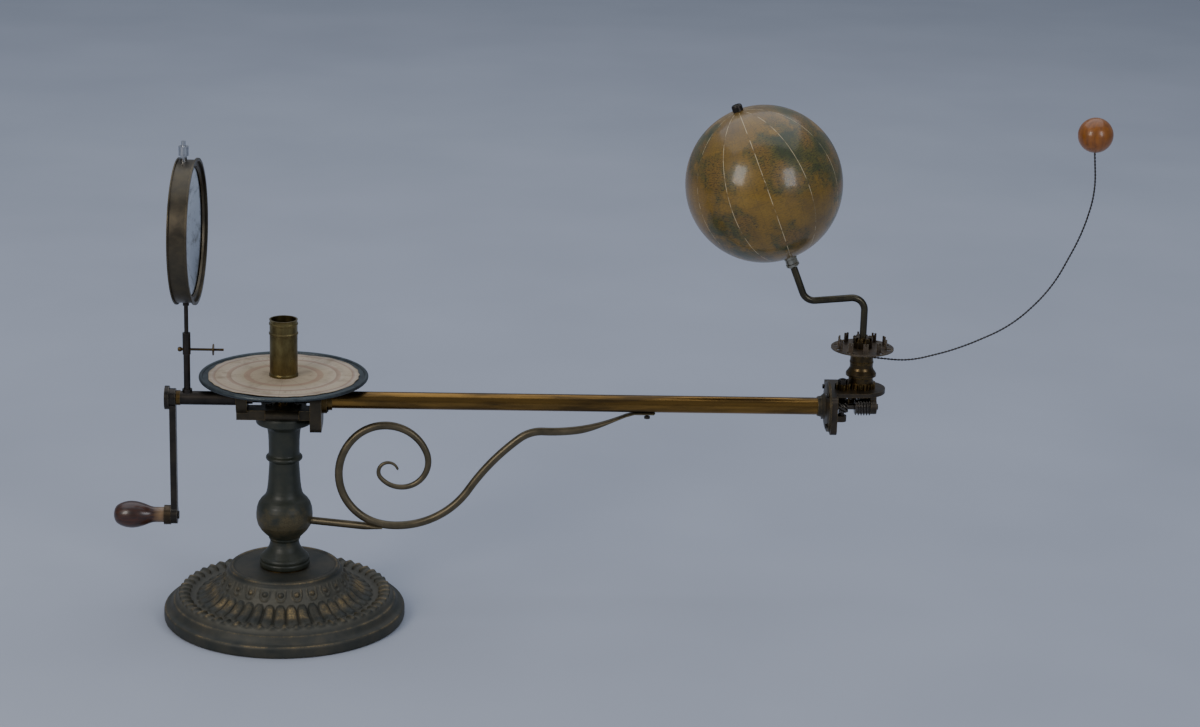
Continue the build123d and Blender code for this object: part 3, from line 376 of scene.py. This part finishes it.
# Mild steel that has gone dark: smooth and nearly black-brown, brighter where it is touched.
dark_steel = old_metal("dark_oiled_steel", "#373431", "#45403b", "#8c867c", 18, 0.9, 0.5, (0.3, 0.5))
dress(cast_iron, "base_weight")
dress(dark_steel, "base_fasteners", "sun_spindle", "socket_nut", "carriage_screws")


# The column: turned from one length of iron, hollow for the fixed spindle, with a collared foot, a bulge and a
# capital. It is painted green-black, and hands have rubbed the bulge down to a brown ground.

# Old oil paint on iron: green-black in 16 mm patches, over a brown ground with a 1.3 mm grain.
column_paint, tree, shader, place = finish("rubbed_column_paint")
patches = noise(tree, place, 16, 7.0, 0.62)
fine = noise(tree, place, 1.3, 4.0)
paint = ramp(tree, patches, (0.35, "#21261e"), (0.65, "#303226"))
ground = ramp(tree, fine, (0.35, "#4d452f"), (0.65, "#60563c"))
# The rub is deepest on the lower half of the bulge, 103 mm up, and fades over 28 mm either way.
bulge_height = 0.103
off_bulge = calc(tree, "SUBTRACT", add(tree, "SeparateXYZ", links={0: place}).outputs["Z"], bulge_height)
handled = remap(tree, calc(tree, "ABSOLUTE", off_bulge), 0.028, 0.004, -0.14, 0.17)
rubbed = remap(tree, calc(tree, "ADD", handled, patches), 0.5, 0.74, 0.0, 0.85)
worn = calc(tree, "MAXIMUM", rubbed, near_edges(tree, 1.0, 0.985, 0.85, 0.8))
feed(tree, shader, {
    "Base Color": blend(tree, worn, paint, ground), "Roughness": remap(tree, patches, 0.3, 0.7, 0.36, 0.56),
    "Metallic": remap(tree, worn, 0, 1, 0.05, 0.4), "Normal": bump(tree, fine, 0.2, 0.3)})


def turned_column():
    """The column's outline as (radius, height) in mm from its foot up to its top, its corners eased by taking each
    point halfway to its neighbours twice, then the bore down to the foot again, turned about Z."""
    corners = np.array([
        (25.2, 55.53), (25.7, 56.3), (25.7, 60.2), (24.9, 61.0), (24.9, 61.5), (25.3, 62.1), (25.3, 64.2),
        (24.6, 65.6), (23.2, 66.6), (20.6, 69.6), (18.0, 72.6), (16.0, 76.0), (14.9, 80.0), (14.8, 83.2),
        (15.9, 84.2), (16.4, 85.2), (15.9, 86.2), (17.4, 88.0), (20.4, 90.8), (24.2, 95.0), (27.4, 100.4),
        (28.8, 106.5), (28.9, 112.0), (28.2, 118.0), (26.6, 123.0), (24.0, 126.8), (21.6, 129.2), (19.6, 131.6),
        (18.4, 134.5), (17.5, 138.5), (16.6, 146.0), (15.9, 156.0), (15.4, 164.0), (15.3, 168.6), (16.7, 169.2),
        (18.3, 170.4), (18.8, 172.0), (18.3, 173.6), (16.7, 174.8), (15.9, 175.6), (15.7, 180.0), (15.8, 190.0),
        (16.2, 197.0), (17.0, 203.0), (19.0, 205.6), (22.5, 207.4), (26.0, 208.6), (28.3, 209.6), (28.5, 210.4),
        (28.5, 216.0), (27.8, 218.4), (26.0, 220.0)])
    bore = np.array([(25.9, 220.0), (10.1, 220.0), (10.0, 219.9), (10.0, 58.6), (10.1, 58.5), (13.4, 58.5),
                     (13.5, 58.4), (13.5, 55.63), (13.6, 55.53), (25.1, 55.53)])
    lengths = lengths_along(corners)
    outline = points_at(corners, lengths, np.linspace(0, lengths[-1], 320))
    for _ in range(2):
        outline[1:-1] = (outline[:-2] + 2 * outline[1:-1] + outline[2:]) / 4
    turn = np.linspace(0, 2 * np.pi, 128, endpoint=False)
    radius, height = spun(np.concatenate([outline, bore]), turn)
    return surface("turned_column", about_z(radius, turn, height) / mm_per_m, rows_close=True)


pillar = turned_column()
pillar.data.materials.append(column_paint)
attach(pillar, "carriage")
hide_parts("column")


# The head: a forged bronze-washed saddle screwed to the capital, a lug and a deep cheek that carry the drive shaft,
# with the fixed wheel, its hub and the bearing bushes between them.

# Bronzed iron, brown, rubbed to brass along every edge.
frame_bronze = old_metal("bronzed_forging", "#3a352b", "#4a4233", "#9c8250", 12, 1.2, 0.9, (0.32, 0.52), metal=0.7)
# Cut and turned brass under old lacquer: brown-gold, with darker stains.
wheel_brass = old_metal("lacquered_brass", "#705a33", "#4d3f28", "#b39a68", 9, 0.8, 0.3, (0.24, 0.42))
# Brass that was never lacquered: brown, with a dull gold at the edges.
dull_brass = old_metal("tarnished_brass", "#5c4a2b", "#41372a", "#b0904f", 8, 0.8, 0.5, (0.26, 0.48))
# Turned steel that runs in its bearings: grey-brown under old oil, bright at its edges.
bright_steel = old_metal("turned_steel", "#5c5750", "#4a443d", "#9c968c", 6, 0.5, 0.2, (0.2, 0.36))
dress(frame_bronze, "head_frame")
dress(wheel_brass, "thrust_washer", "sun_wheel", "bearing_bushes")
dress(dull_brass, "dial_hub")


# The tubes: a drawn brass tube for the arm between two screwed flanges, and a short steel sleeve to the crank.
# The arm's lacquer has darkened on top and in streaks, and the brass shines along its front.

# Drawn brass: gold-brown, with streaks 10 mm across that run eight times as far along the tube.
arm_brass = old_metal("streaked_arm_brass", "#94713a", "#54432a", "#c9a266", 10, 1.2, 0.5, (0.17, 0.36),
                      stretch=(0.12, 1, 1))
dress(arm_brass, "arm_tube")
dress(wheel_brass, "head_flange")
dress(frame_bronze, "end_flange")
dress(dark_steel, "sleeve_tube", "mirror_post", "mirror_stem")


# The dial: a zinc disc with its edge rolled over a wire, and a printed calendar paper pasted on it.
# The zinc has dulled to blue-grey. The paper has browned, its rings have faded to pinks, and it has cockled.

# Sheet zinc: blue-grey, dull, with whitish bloom.
zinc = old_metal("dull_zinc", "#474d4f", "#585f61", "#8b9192", 10, 1.0, 0.6, (0.4, 0.62))
dress(zinc, "dial_plate")


def cockled_paper():
    """A thin ring of paper, closed underneath. It lies on the plate in the middle and cockles towards its edge: it
    is lifted by 0.12 + (1 + wave) / 2 mm there, where wave is a sum of sines of 3, 7 and 11 waves a turn."""
    bore, inner, outer, flat_within = 8.0, 14.5, 76.2, 25
    across = np.concatenate([[bore], np.linspace(inner, outer, 40)])
    turn = np.linspace(0, 2 * np.pi, 180, endpoint=False)
    radius, angle = np.meshgrid(across, turn, indexing="ij")
    wave = 0.5 * np.sin(3 * angle + 0.6) + 0.3 * np.sin(7 * angle + radius / 9)
    wave = wave + 0.2 * np.sin(11 * angle - radius / 5)
    lift = 0.12 + smooth(radius, flat_within, 76) * (0.5 + 0.5 * wave)
    ragged = radius + 0.5 * smooth(radius, 70, 76) * np.sin(23 * angle + 2 * np.sin(5 * angle))
    plate_top, thickness = 258.95, 0.13
    top = about_z(ragged, angle, plate_top + lift)
    under = top - np.array([0, 0, thickness])
    return surface("calendar_paper", np.concatenate([top[::-1], under]) / mm_per_m, rows_close=True)


# Old rag paper, printed and hand-coloured: matt, browned and foxed in 24 mm stains and 2.2 mm specks.
# Its rings are set out as shares of a radius of 80 mm.
ring_radius = 80.0
calendar_print, tree, shader, place = finish("calendar_print")
flat = add(tree, "VectorMath", {1: (1, 1, 0)}, {0: place}, operation="MULTIPLY").outputs["Vector"]
radius = add(tree, "VectorMath", links={0: flat}, operation="LENGTH").outputs["Value"]
in_mm = calc(tree, "MULTIPLY", radius, float(mm_per_m))
share = calc(tree, "DIVIDE", in_mm, ring_radius)
rings = ramp(tree, share, (0.0, "#a8987e"), (1.0, "#97866c"), (0.42, "#a8977d"), (0.425, "#9a816a"),
             (0.5, "#9f8870"), (0.505, "#a99a80"), (0.66, "#b3a48e"), (0.665, "#94806d"), (0.72, "#ab9480"),
             (0.725, "#b6a892"), (0.86, "#b2a28a"), (0.865, "#98806c"), (0.9, "#a8998a"), (0.905, "#b3a592"))
split = add(tree, "SeparateXYZ", links={0: place})
angle = calc(tree, "ARCTAN2", split.outputs["Y"], split.outputs["X"])
# Twelve sectors, and seventy-two short strokes in the outer ring: half a sector is 15 degrees, half a stroke 2.5.
# A sector's line fades out from 0.2 to 0.45 mm off its middle, and a stroke from 0.25 to 0.5 mm.
sector = calc(tree, "PINGPONG", angle, float(np.radians(15)))
sector_line = remap(tree, calc(tree, "MULTIPLY", sector, in_mm), 0.45, 0.2)
stroke = calc(tree, "PINGPONG", angle, float(np.radians(2.5)))
stroke_line = remap(tree, calc(tree, "MULTIPLY", stroke, in_mm), 0.5, 0.25)
in_ring = ramp(tree, share, (0.0, "#000000"), (1.0, "#000000"), (0.725, "#000000"), (0.73, "#ffffff"),
               (0.79, "#ffffff"), (0.795, "#000000"))
ink = calc(tree, "MAXIMUM", sector_line, calc(tree, "MULTIPLY", stroke_line, in_ring))
stains = noise(tree, place, 24, 8.0, 0.65)
specks = noise(tree, place, 2.2, 3.0)
printed = calc(tree, "MULTIPLY", ink, remap(tree, specks, 0.4, 0.62, 0.0, 0.55))
inked = blend(tree, printed, rings, "#4c4038")
stained = blend(tree, remap(tree, stains, 0.5, 0.75, 0.0, 0.7), inked, "#6f5d46")
feed(tree, shader, {"Base Color": stained, "Roughness": 0.82, "Normal": bump(tree, specks, 0.3, 0.3)})
paper = cockled_paper()
paper.data.materials.append(calendar_print)
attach(paper, "stand")
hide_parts("dial_paper")


# The candle socket: a thin turned brass tube with two beads, where the candle that stands for the Sun is set.
# Wax and smoke have browned it, and its edges are brighter from use.

# Tarnished brass: olive-gold, with browner stains drawn out up the tube.
socket_brass = old_metal("smoked_brass", "#7c7048", "#5f5436", "#bda878", 7, 0.9, 0.5, (0.26, 0.45),
                         stretch=(1, 1, 0.5))
dress(socket_brass, "candle_socket")


# The crank: steel shaft ends and worms on one axis, a forged strip with an eye at each end, and a turned grip.
# The strip is oiled steel. The grip is mahogany in red-brown lacquer, rubbed paler round its neck.

def polished_wood(name, pale, dark, grain, along, coat, neck=None):
    """Polished hardwood: fibres drawn out along an axis, growth streaks so many mm across, and a coat of varnish.
    neck is a rubbed colour and the two places along X, in metres, between which it comes in."""
    material, tree, shader, place = finish(name)
    drawn = add(tree, "Mapping", {"Scale": along}, {"Vector": place}).outputs["Vector"]
    streaks = noise(tree, drawn, grain, 5.0, distortion=0.4)
    fibres = noise(tree, drawn, grain / 6, 3.0)
    tone = ramp(tree, calc(tree, "MULTIPLY_ADD", fibres, 0.35, streaks), (0.5, dark), (0.85, pale))
    if neck:
        rubbed, low, high = neck
        side = add(tree, "SeparateXYZ", links={0: place}).outputs["X"]
        shifted = calc(tree, "MULTIPLY_ADD", streaks, 0.012, side)
        tone = blend(tree, remap(tree, shifted, low, high), tone, rubbed)
    feed(tree, shader, {"Base Color": tone, "Roughness": 0.38, "Coat Weight": coat, "Coat Roughness": 0.16,
                        "Normal": bump(tree, fibres, 0.12, 0.2)})
    return material


# Lacquered mahogany: red-brown, growth streaks about 2.5 mm apart along the grip.
mahogany = polished_wood("lacquered_mahogany", "#46220c", "#261006", 2.5, (0.12, 1, 1), 0.45,
                         ("#7d6242", -0.127, -0.118))
# Forged steel, oiled: dark brown-grey, in patches of 16 mm.
forged_steel = old_metal("oiled_forged_steel", "#3b3834", "#49443d", "#938b7c", 16, 1.4, 0.8, (0.28, 0.46))
# Nickel plate, yellowed and rubbed.
nickel = old_metal("worn_nickel", "#a7a496", "#837f70", "#d8d4c8", 6, 0.6, 0.3, (0.12, 0.28))
# The grip's ring is plated too, browned by the hand.
browned_nickel = old_metal("browned_nickel", "#5d5141", "#463c30", "#a3957a", 6, 0.6, 0.3, (0.24, 0.42))
dress(bright_steel, "crank_shaft", "head_worm", "drive_shaft", "end_worm", "shaft_screw_gear", "crank_pin")
dress(forged_steel, "crank_arm", "crank_hub")
dress(mahogany, "crank_grip")
dress(browned_nickel, "grip_ferrule")


# The Earth end: a cheek and plate in one iron forging, rounded at the end, over the little gear train to the Moon.
# The train is brass wheels on steel, screwed up from below.

# Browned iron: matt brown in 11 mm patches, rubbed to a dull gold at its edges.
end_iron = old_metal("browned_iron", "#3b352e", "#4c4337", "#8c7650", 11, 1.2, 0.8, (0.34, 0.55), metal=0.75)
dress(end_iron, "end_bracket", "shaft_end_lug", "arbor_cock")
dress(wheel_brass, "planet_wheel", "arbor_screw_gear", "moon_pinion", "moon_gear")
dress(dark_steel, "arbor", "arbor_nut", "planet_nut")
dress(bright_steel, "earth_spindle")


# The Moon's carrier: a turned brass sleeve on the Earth spindle, with a crown of bent-up prongs on it.
# It is grimy brass, with gold showing where the collar has been turned by hand.

# Brown brass sheet for the crown, and turned brass under grime for the sleeve and collar.
crown_brass = old_metal("brown_crown_brass", "#4d443a", "#625546", "#b3a487", 9, 1.0, 0.6, (0.34, 0.55), metal=0.8)
sleeve_brass = old_metal("grimy_brass", "#5a4a2f", "#3c352b", "#c4a059", 5, 0.7, 0.6, (0.24, 0.46))
dress(crown_brass, "crown_disc")
dress(sleeve_brass, "moon_sleeve", "rod_collar")


# The Moon on its wire: two strands of steel wire twisted together, bent up and over the Earth, and a turned ball.
# The wire has gone dark. The ball is boxwood under orange-brown varnish.

def rounded_route(corners, share=0.45, samples=14, count=900):
    """A route through corners, each rounded by a parabola over a share of its shorter side either way, and the
    distance along it to each of its evenly spaced points."""
    before, at, after = corners[:-2], corners[1:-1], corners[2:]
    short = share * np.minimum(np.linalg.norm(at - before, axis=1), np.linalg.norm(after - at, axis=1))[:, None]
    enter = at + (before - at) / np.linalg.norm(before - at, axis=1)[:, None] * short
    leave = at + (after - at) / np.linalg.norm(after - at, axis=1)[:, None] * short
    t = np.linspace(0, 1, samples)[None, :, None]
    curve = (1 - t) ** 2 * enter[:, None] + 2 * t * (1 - t) * at[:, None] + t ** 2 * leave[:, None]
    line = np.concatenate([corners[:1], curve.reshape(-1, corners.shape[1]), corners[-1:]])
    lengths = lengths_along(line)
    distances = np.linspace(0, lengths[-1], count)
    return points_at(line, lengths, distances), distances


def directions(line):
    """The unit direction of a line at each of its points."""
    ahead = np.gradient(line, axis=0)
    return ahead / np.linalg.norm(ahead, axis=1)[:, None]


def strand(name, centre, thick, deep, sides):
    """A tube of ellipses about a line of points in mm, each set square to the line, with its ends drawn to a tip.
    thick is the half thickness in the XZ plane at each point, and deep the half width along Y."""
    ahead = directions(centre)
    side = np.cross(ahead, np.array([0.0, 1.0, 0.0]))
    side /= np.linalg.norm(side, axis=1)[:, None]
    other = np.cross(ahead, side)
    turn = np.linspace(0, 2 * np.pi, sides, endpoint=False)
    ends = np.ones(len(centre))
    ends[[0, -1]] = 0.05
    ring = (side * (thick * ends)[:, None])[:, None] * np.cos(turn)[None, :, None]
    ring = ring + (other * (deep * ends)[:, None])[:, None] * np.sin(turn)[None, :, None]
    return surface(name, (centre[:, None] + ring) / mm_per_m)


# Two strands of 1 mm wire, laid with one full twist every 7 mm, half a turn apart, through corners in the XZ plane.
wire_radius, lay, strand_offset = 0.5, 7, 0.52
wire_corners = np.array([(597.7, 286.8), (636, 283.3), (686, 296.8), (740, 322.3), (778, 361.8), (805, 419.8),
                         (815.5, 462.8), (811, 508.8)])
wire_line, wire_length = rounded_route(wire_corners)
wire_ahead = directions(wire_line)
for number, start in enumerate((0.0, np.pi)):
    twist = 2 * np.pi * wire_length / lay + start
    offset_x = -wire_ahead[:, 1] * np.cos(twist) * strand_offset
    offset_z = wire_ahead[:, 0] * np.cos(twist) * strand_offset
    centre = np.stack([wire_line[:, 0] + offset_x, np.sin(twist) * strand_offset, wire_line[:, 1] + offset_z],
                      axis=-1)
    piece = strand(f"wire_strand_{number + 1}", centre, wire_radius, wire_radius, 8)
    piece.data.materials.append(dark_steel)
    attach(piece, "moon_carrier")
    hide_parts("moon_wire")

# Varnished boxwood: orange-brown, close grained, about 3 mm between streaks.
boxwood = polished_wood("varnished_boxwood", "#94560a", "#774306", 3.0, (1, 1, 0.2), 0.4)
dress(boxwood, "moon_ball")


# The Earth's rod and globe: a cranked steel rod on the spindle, and a hollow ball of pulp and plaster on it.
# The ball is covered with twelve printed paper gores, hand-coloured and varnished, and the varnish has gone amber.

# Browned steel rod: streaks about 14 mm across, drawn out up its length.
rod_steel = old_metal("browned_rod_steel", "#403d36", "#55503f", "#9a927e", 14, 0.9, 0.5, (0.26, 0.44),
                      stretch=(1, 1, 0.4))
dress(rod_steel, "globe_rod")
dress(nickel, "globe_ferrule")
dress(dark_steel, "pole_nut")
# Plain turned limewood, seen only in the ends of the ball's bore.
limewood = polished_wood("plain_limewood", "#b08c5e", "#8f6d45", 2.0, (1, 1, 0.2), 0.1)
dress(limewood, "globe_core")

# Varnished printed paper on the ball, which is 79 mm in radius and tilted by 21.5 degrees: an ochre sea, olive and
# brown lands about 55 mm across, graduations every 10 degrees, and pale worn seams between the gores.
globe_radius = 79
globe_middle, globe_tilt = (0.480, 0, 0.466), float(np.radians(-21.5))
globe_print, tree, shader, place = finish("varnished_globe_gores")
on_globe = add(tree, "Mapping", {"Location": globe_middle, "Rotation": (0, globe_tilt, 0)},
               {"Vector": place}, vector_type="TEXTURE").outputs["Vector"]
split = add(tree, "SeparateXYZ", links={0: on_globe})
longitude = calc(tree, "ARCTAN2", split.outputs["Y"], split.outputs["X"])
latitude = calc(tree, "ARCSINE", calc(tree, "DIVIDE", split.outputs["Z"], globe_radius / mm_per_m))
girth = calc(tree, "COSINE", latitude)


def line_every(tree, angle, degrees, squeeze, width):
    """A line of a width in mm at every so many degrees of an angle on the ball. squeeze is the share of the
    equator's girth that the ball has there, or None."""
    near = calc(tree, "PINGPONG", angle, float(np.radians(degrees / 2)))
    if squeeze:
        near = calc(tree, "MULTIPLY", near, squeeze)
    return remap(tree, near, width / globe_radius, width / (2 * globe_radius))


seam = line_every(tree, longitude, 30, girth, 0.4)
meridian = line_every(tree, longitude, 10, girth, 0.26)
parallel = line_every(tree, latitude, 10, None, 0.26)
lands = noise(tree, on_globe, 55, 9.0, 0.58)
land = remap(tree, lands, 0.46, 0.53)
coast = remap(tree, lands, 0.44, 0.5)
tints = noise(tree, on_globe, 30, 4.0)
sea = ramp(tree, tints, (0.3, "#896a1a"), (0.5, "#7e6018"), (0.7, "#6a521a"))
country = ramp(tree, tints, (0.4, "#39401a"), (0.52, "#57521d"), (0.64, "#7a5c1e"))
# Engraved hills, names and hatching are too fine to read: short dark strokes along the parallels, about 3.7 mm long
# and 1 mm high, densest on land. The noise has 48 features in a unit of 1 / 0.45 radian by 1 / 1.6 radian.
script_scale, per_radian = 48.0, (0.45, 1.6, 1)
written = add(tree, "CombineXYZ", links={0: longitude, 1: latitude}).outputs["Vector"]
rows = add(tree, "Mapping", {"Scale": per_radian}, {"Vector": written}).outputs["Vector"]
script = add(tree, "TexNoise", {"Scale": script_scale, "Detail": 4.0, "Roughness": 0.75}, {"Vector": rows})
strokes = remap(tree, script.outputs["Fac"], 0.5, 0.57, 0.0, 0.85)
engraved = calc(tree, "MULTIPLY", strokes, remap(tree, coast, 0, 1, 0.4, 1.0))
ruled = calc(tree, "MULTIPLY", calc(tree, "MAXIMUM", meridian, parallel), 0.42)
inked = blend(tree, calc(tree, "MAXIMUM", engraved, ruled), blend(tree, land, sea, country), "#272611")
grime = remap(tree, noise(tree, place, 38, 6.0, 0.6), 0.5, 0.8, 0.0, 0.55)
scuffs = remap(tree, noise(tree, place, 9, 4.0), 0.4, 0.55, 0.0, 0.75)
printed = blend(tree, calc(tree, "MULTIPLY", seam, scuffs), blend(tree, grime, inked, "#3a2c1a"), "#d8c49a")
ridge = bump(tree, seam, 0.4, 0.4)
skin = bump(tree, noise(tree, place, 7, 2.0), 0.18, 0.6, Normal=ridge)
feed(tree, shader, {"Base Color": printed, "Roughness": 0.42, "Coat Weight": 0.5, "Coat Roughness": 0.14,
                    "Normal": skin, "Coat Normal": skin})
dress(globe_print, "globe")


# The reflector: a spun brass pan with a concave silvered glass held by a brass ring, on a steel rod in a post.
# The pan has a brown-grey patina. Its knurled nut is a later one, of aluminium.

# Patinated brass, brown-grey in 20 mm patches, and clean bright aluminium.
pan_brass = old_metal("patinated_pan", "#4c473e", "#615949", "#8a7d64", 20, 1.4, 0.7, (0.3, 0.5))
aluminium = old_metal("knurled_aluminium", "#c9ccd0", "#aeb2b8", "#eceef0", 5, 0.6, 0.3, (0.22, 0.38))
# Silvered glass, tarnished in blooms about 12 mm across.
silvering, tree, shader, place = finish("silvered_glass")
bloom = noise(tree, place, 12, 6.0, 0.65)
feed(tree, shader, {"Base Color": ramp(tree, bloom, (0.5, "#c9ced2"), (0.72, "#8e8f8a")), "Metallic": 1.0,
                    "Roughness": remap(tree, bloom, 0.4, 0.7, 0.05, 0.25)})
dress(pan_brass, "mirror_pan", "mirror_ring")
dress(silvering, "mirror_glass")
dress(aluminium, "mirror_nut")
dress(dull_brass, "cross_pin")


# The scroll bracket: a wrought bar that curls under the arm and thins to a rolled tip, with a strut to the column.
# Both are iron, bronzed dark olive, and rubbed paler along their edges.

# The bracket lies in the plane of the drive shaft.
shaft_y = -20.0


def scroll_path(samples=24):
    """Points in mm and headings along the chain of tangent arcs that the scroll follows, each arc a radius and a
    turn in degrees: a step of an angle a along a radius r is a chord of 2 r sin(a / 2)."""
    arcs = np.array([(203.6, -25.5), (37, 40), (233, 18.6), (88, -63), (55, -130), (44.3, -113.7), (27.3, -160),
                     (10, -210)])
    first_heading, first_point = np.radians(203.6), np.array([352.0, 226.0])
    step = np.repeat(np.radians(arcs[:, 1]) / samples, samples)
    chord = 2 * np.repeat(arcs[:, 0], samples) * np.sin(np.abs(step) / 2)
    heading = first_heading + np.cumsum(step) - step / 2
    ahead = np.stack([np.cos(heading), np.sin(heading)], axis=-1)
    return first_point + np.cumsum(chord[:, None] * ahead, axis=0), heading


def wrought_scroll():
    """The bar along that path: flat where it is screwed to the arm, round after 55 mm, thinned to its rolled tip.
    It keeps to the upper side of the path where it is flat, so that it meets the tube."""
    flat_thick, flat_deep, flat_count, flat_height, flat_lift, round_after = 1.4, 4.9, 14, 229.8, 3.0, 55
    thinning, thin_from = 2.9, 0.68
    path, heading = scroll_path()
    share = np.arange(1, len(path) + 1) / len(path)
    rounding = smooth(lengths_along(path), 0, round_after)
    thinned = thinning * np.maximum(share - thin_from, 0) / (1 - thin_from)
    thick = flat_thick + 2.7 * rounding - thinned
    deep = flat_deep - 0.8 * rounding - thinned
    upward = np.stack([np.sin(heading), -np.cos(heading)], axis=-1)
    path = path + upward * (flat_lift * (1 - rounding))[:, None]
    pad = np.stack([np.linspace(377.5, 356, flat_count), np.full(flat_count, flat_height)], axis=-1)
    path = np.concatenate([pad, path])
    thick = np.concatenate([np.full(flat_count, flat_thick), thick])
    deep = np.concatenate([np.full(flat_count, flat_deep), deep])
    centre = np.stack([path[:, 0], np.full(len(path), shaft_y), path[:, 1]], axis=-1)
    return strand("wrought_scroll", centre, thick, deep, 20)


def drawn_strut():
    """A rod from the bulge, 106 mm up, that flattens and lies along the underside of the scroll's lowest stretch."""
    inner_end, length, meets_plane, height, drop, rod_radius = 22, 80, 96, 105.7, 1.9, 3.9
    along = np.linspace(0, 1, 60)
    reach = inner_end + length * along
    sideways = np.maximum(shaft_y * reach / meets_plane, shaft_y)
    centre = np.stack([reach, sideways, height - drop * along], axis=-1)
    return strand("drawn_strut", centre, rod_radius - 2.3 * smooth(along, 0.72, 1.0), rod_radius, 20)


# Olive bronzed iron: brown-green in 12 mm patches, with paler metal rubbed through.
olive_bronze = old_metal("olive_bronzed_iron", "#57503f", "#6b614c", "#a39676", 12, 1.2, 1.2, (0.3, 0.48),
                         metal=0.75)
for piece, replaced in ((wrought_scroll(), "scroll_bracket"), (drawn_strut(), "scroll_strut")):
    piece.data.materials.append(olive_bronze)
    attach(piece, "carriage")
    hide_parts(replaced)
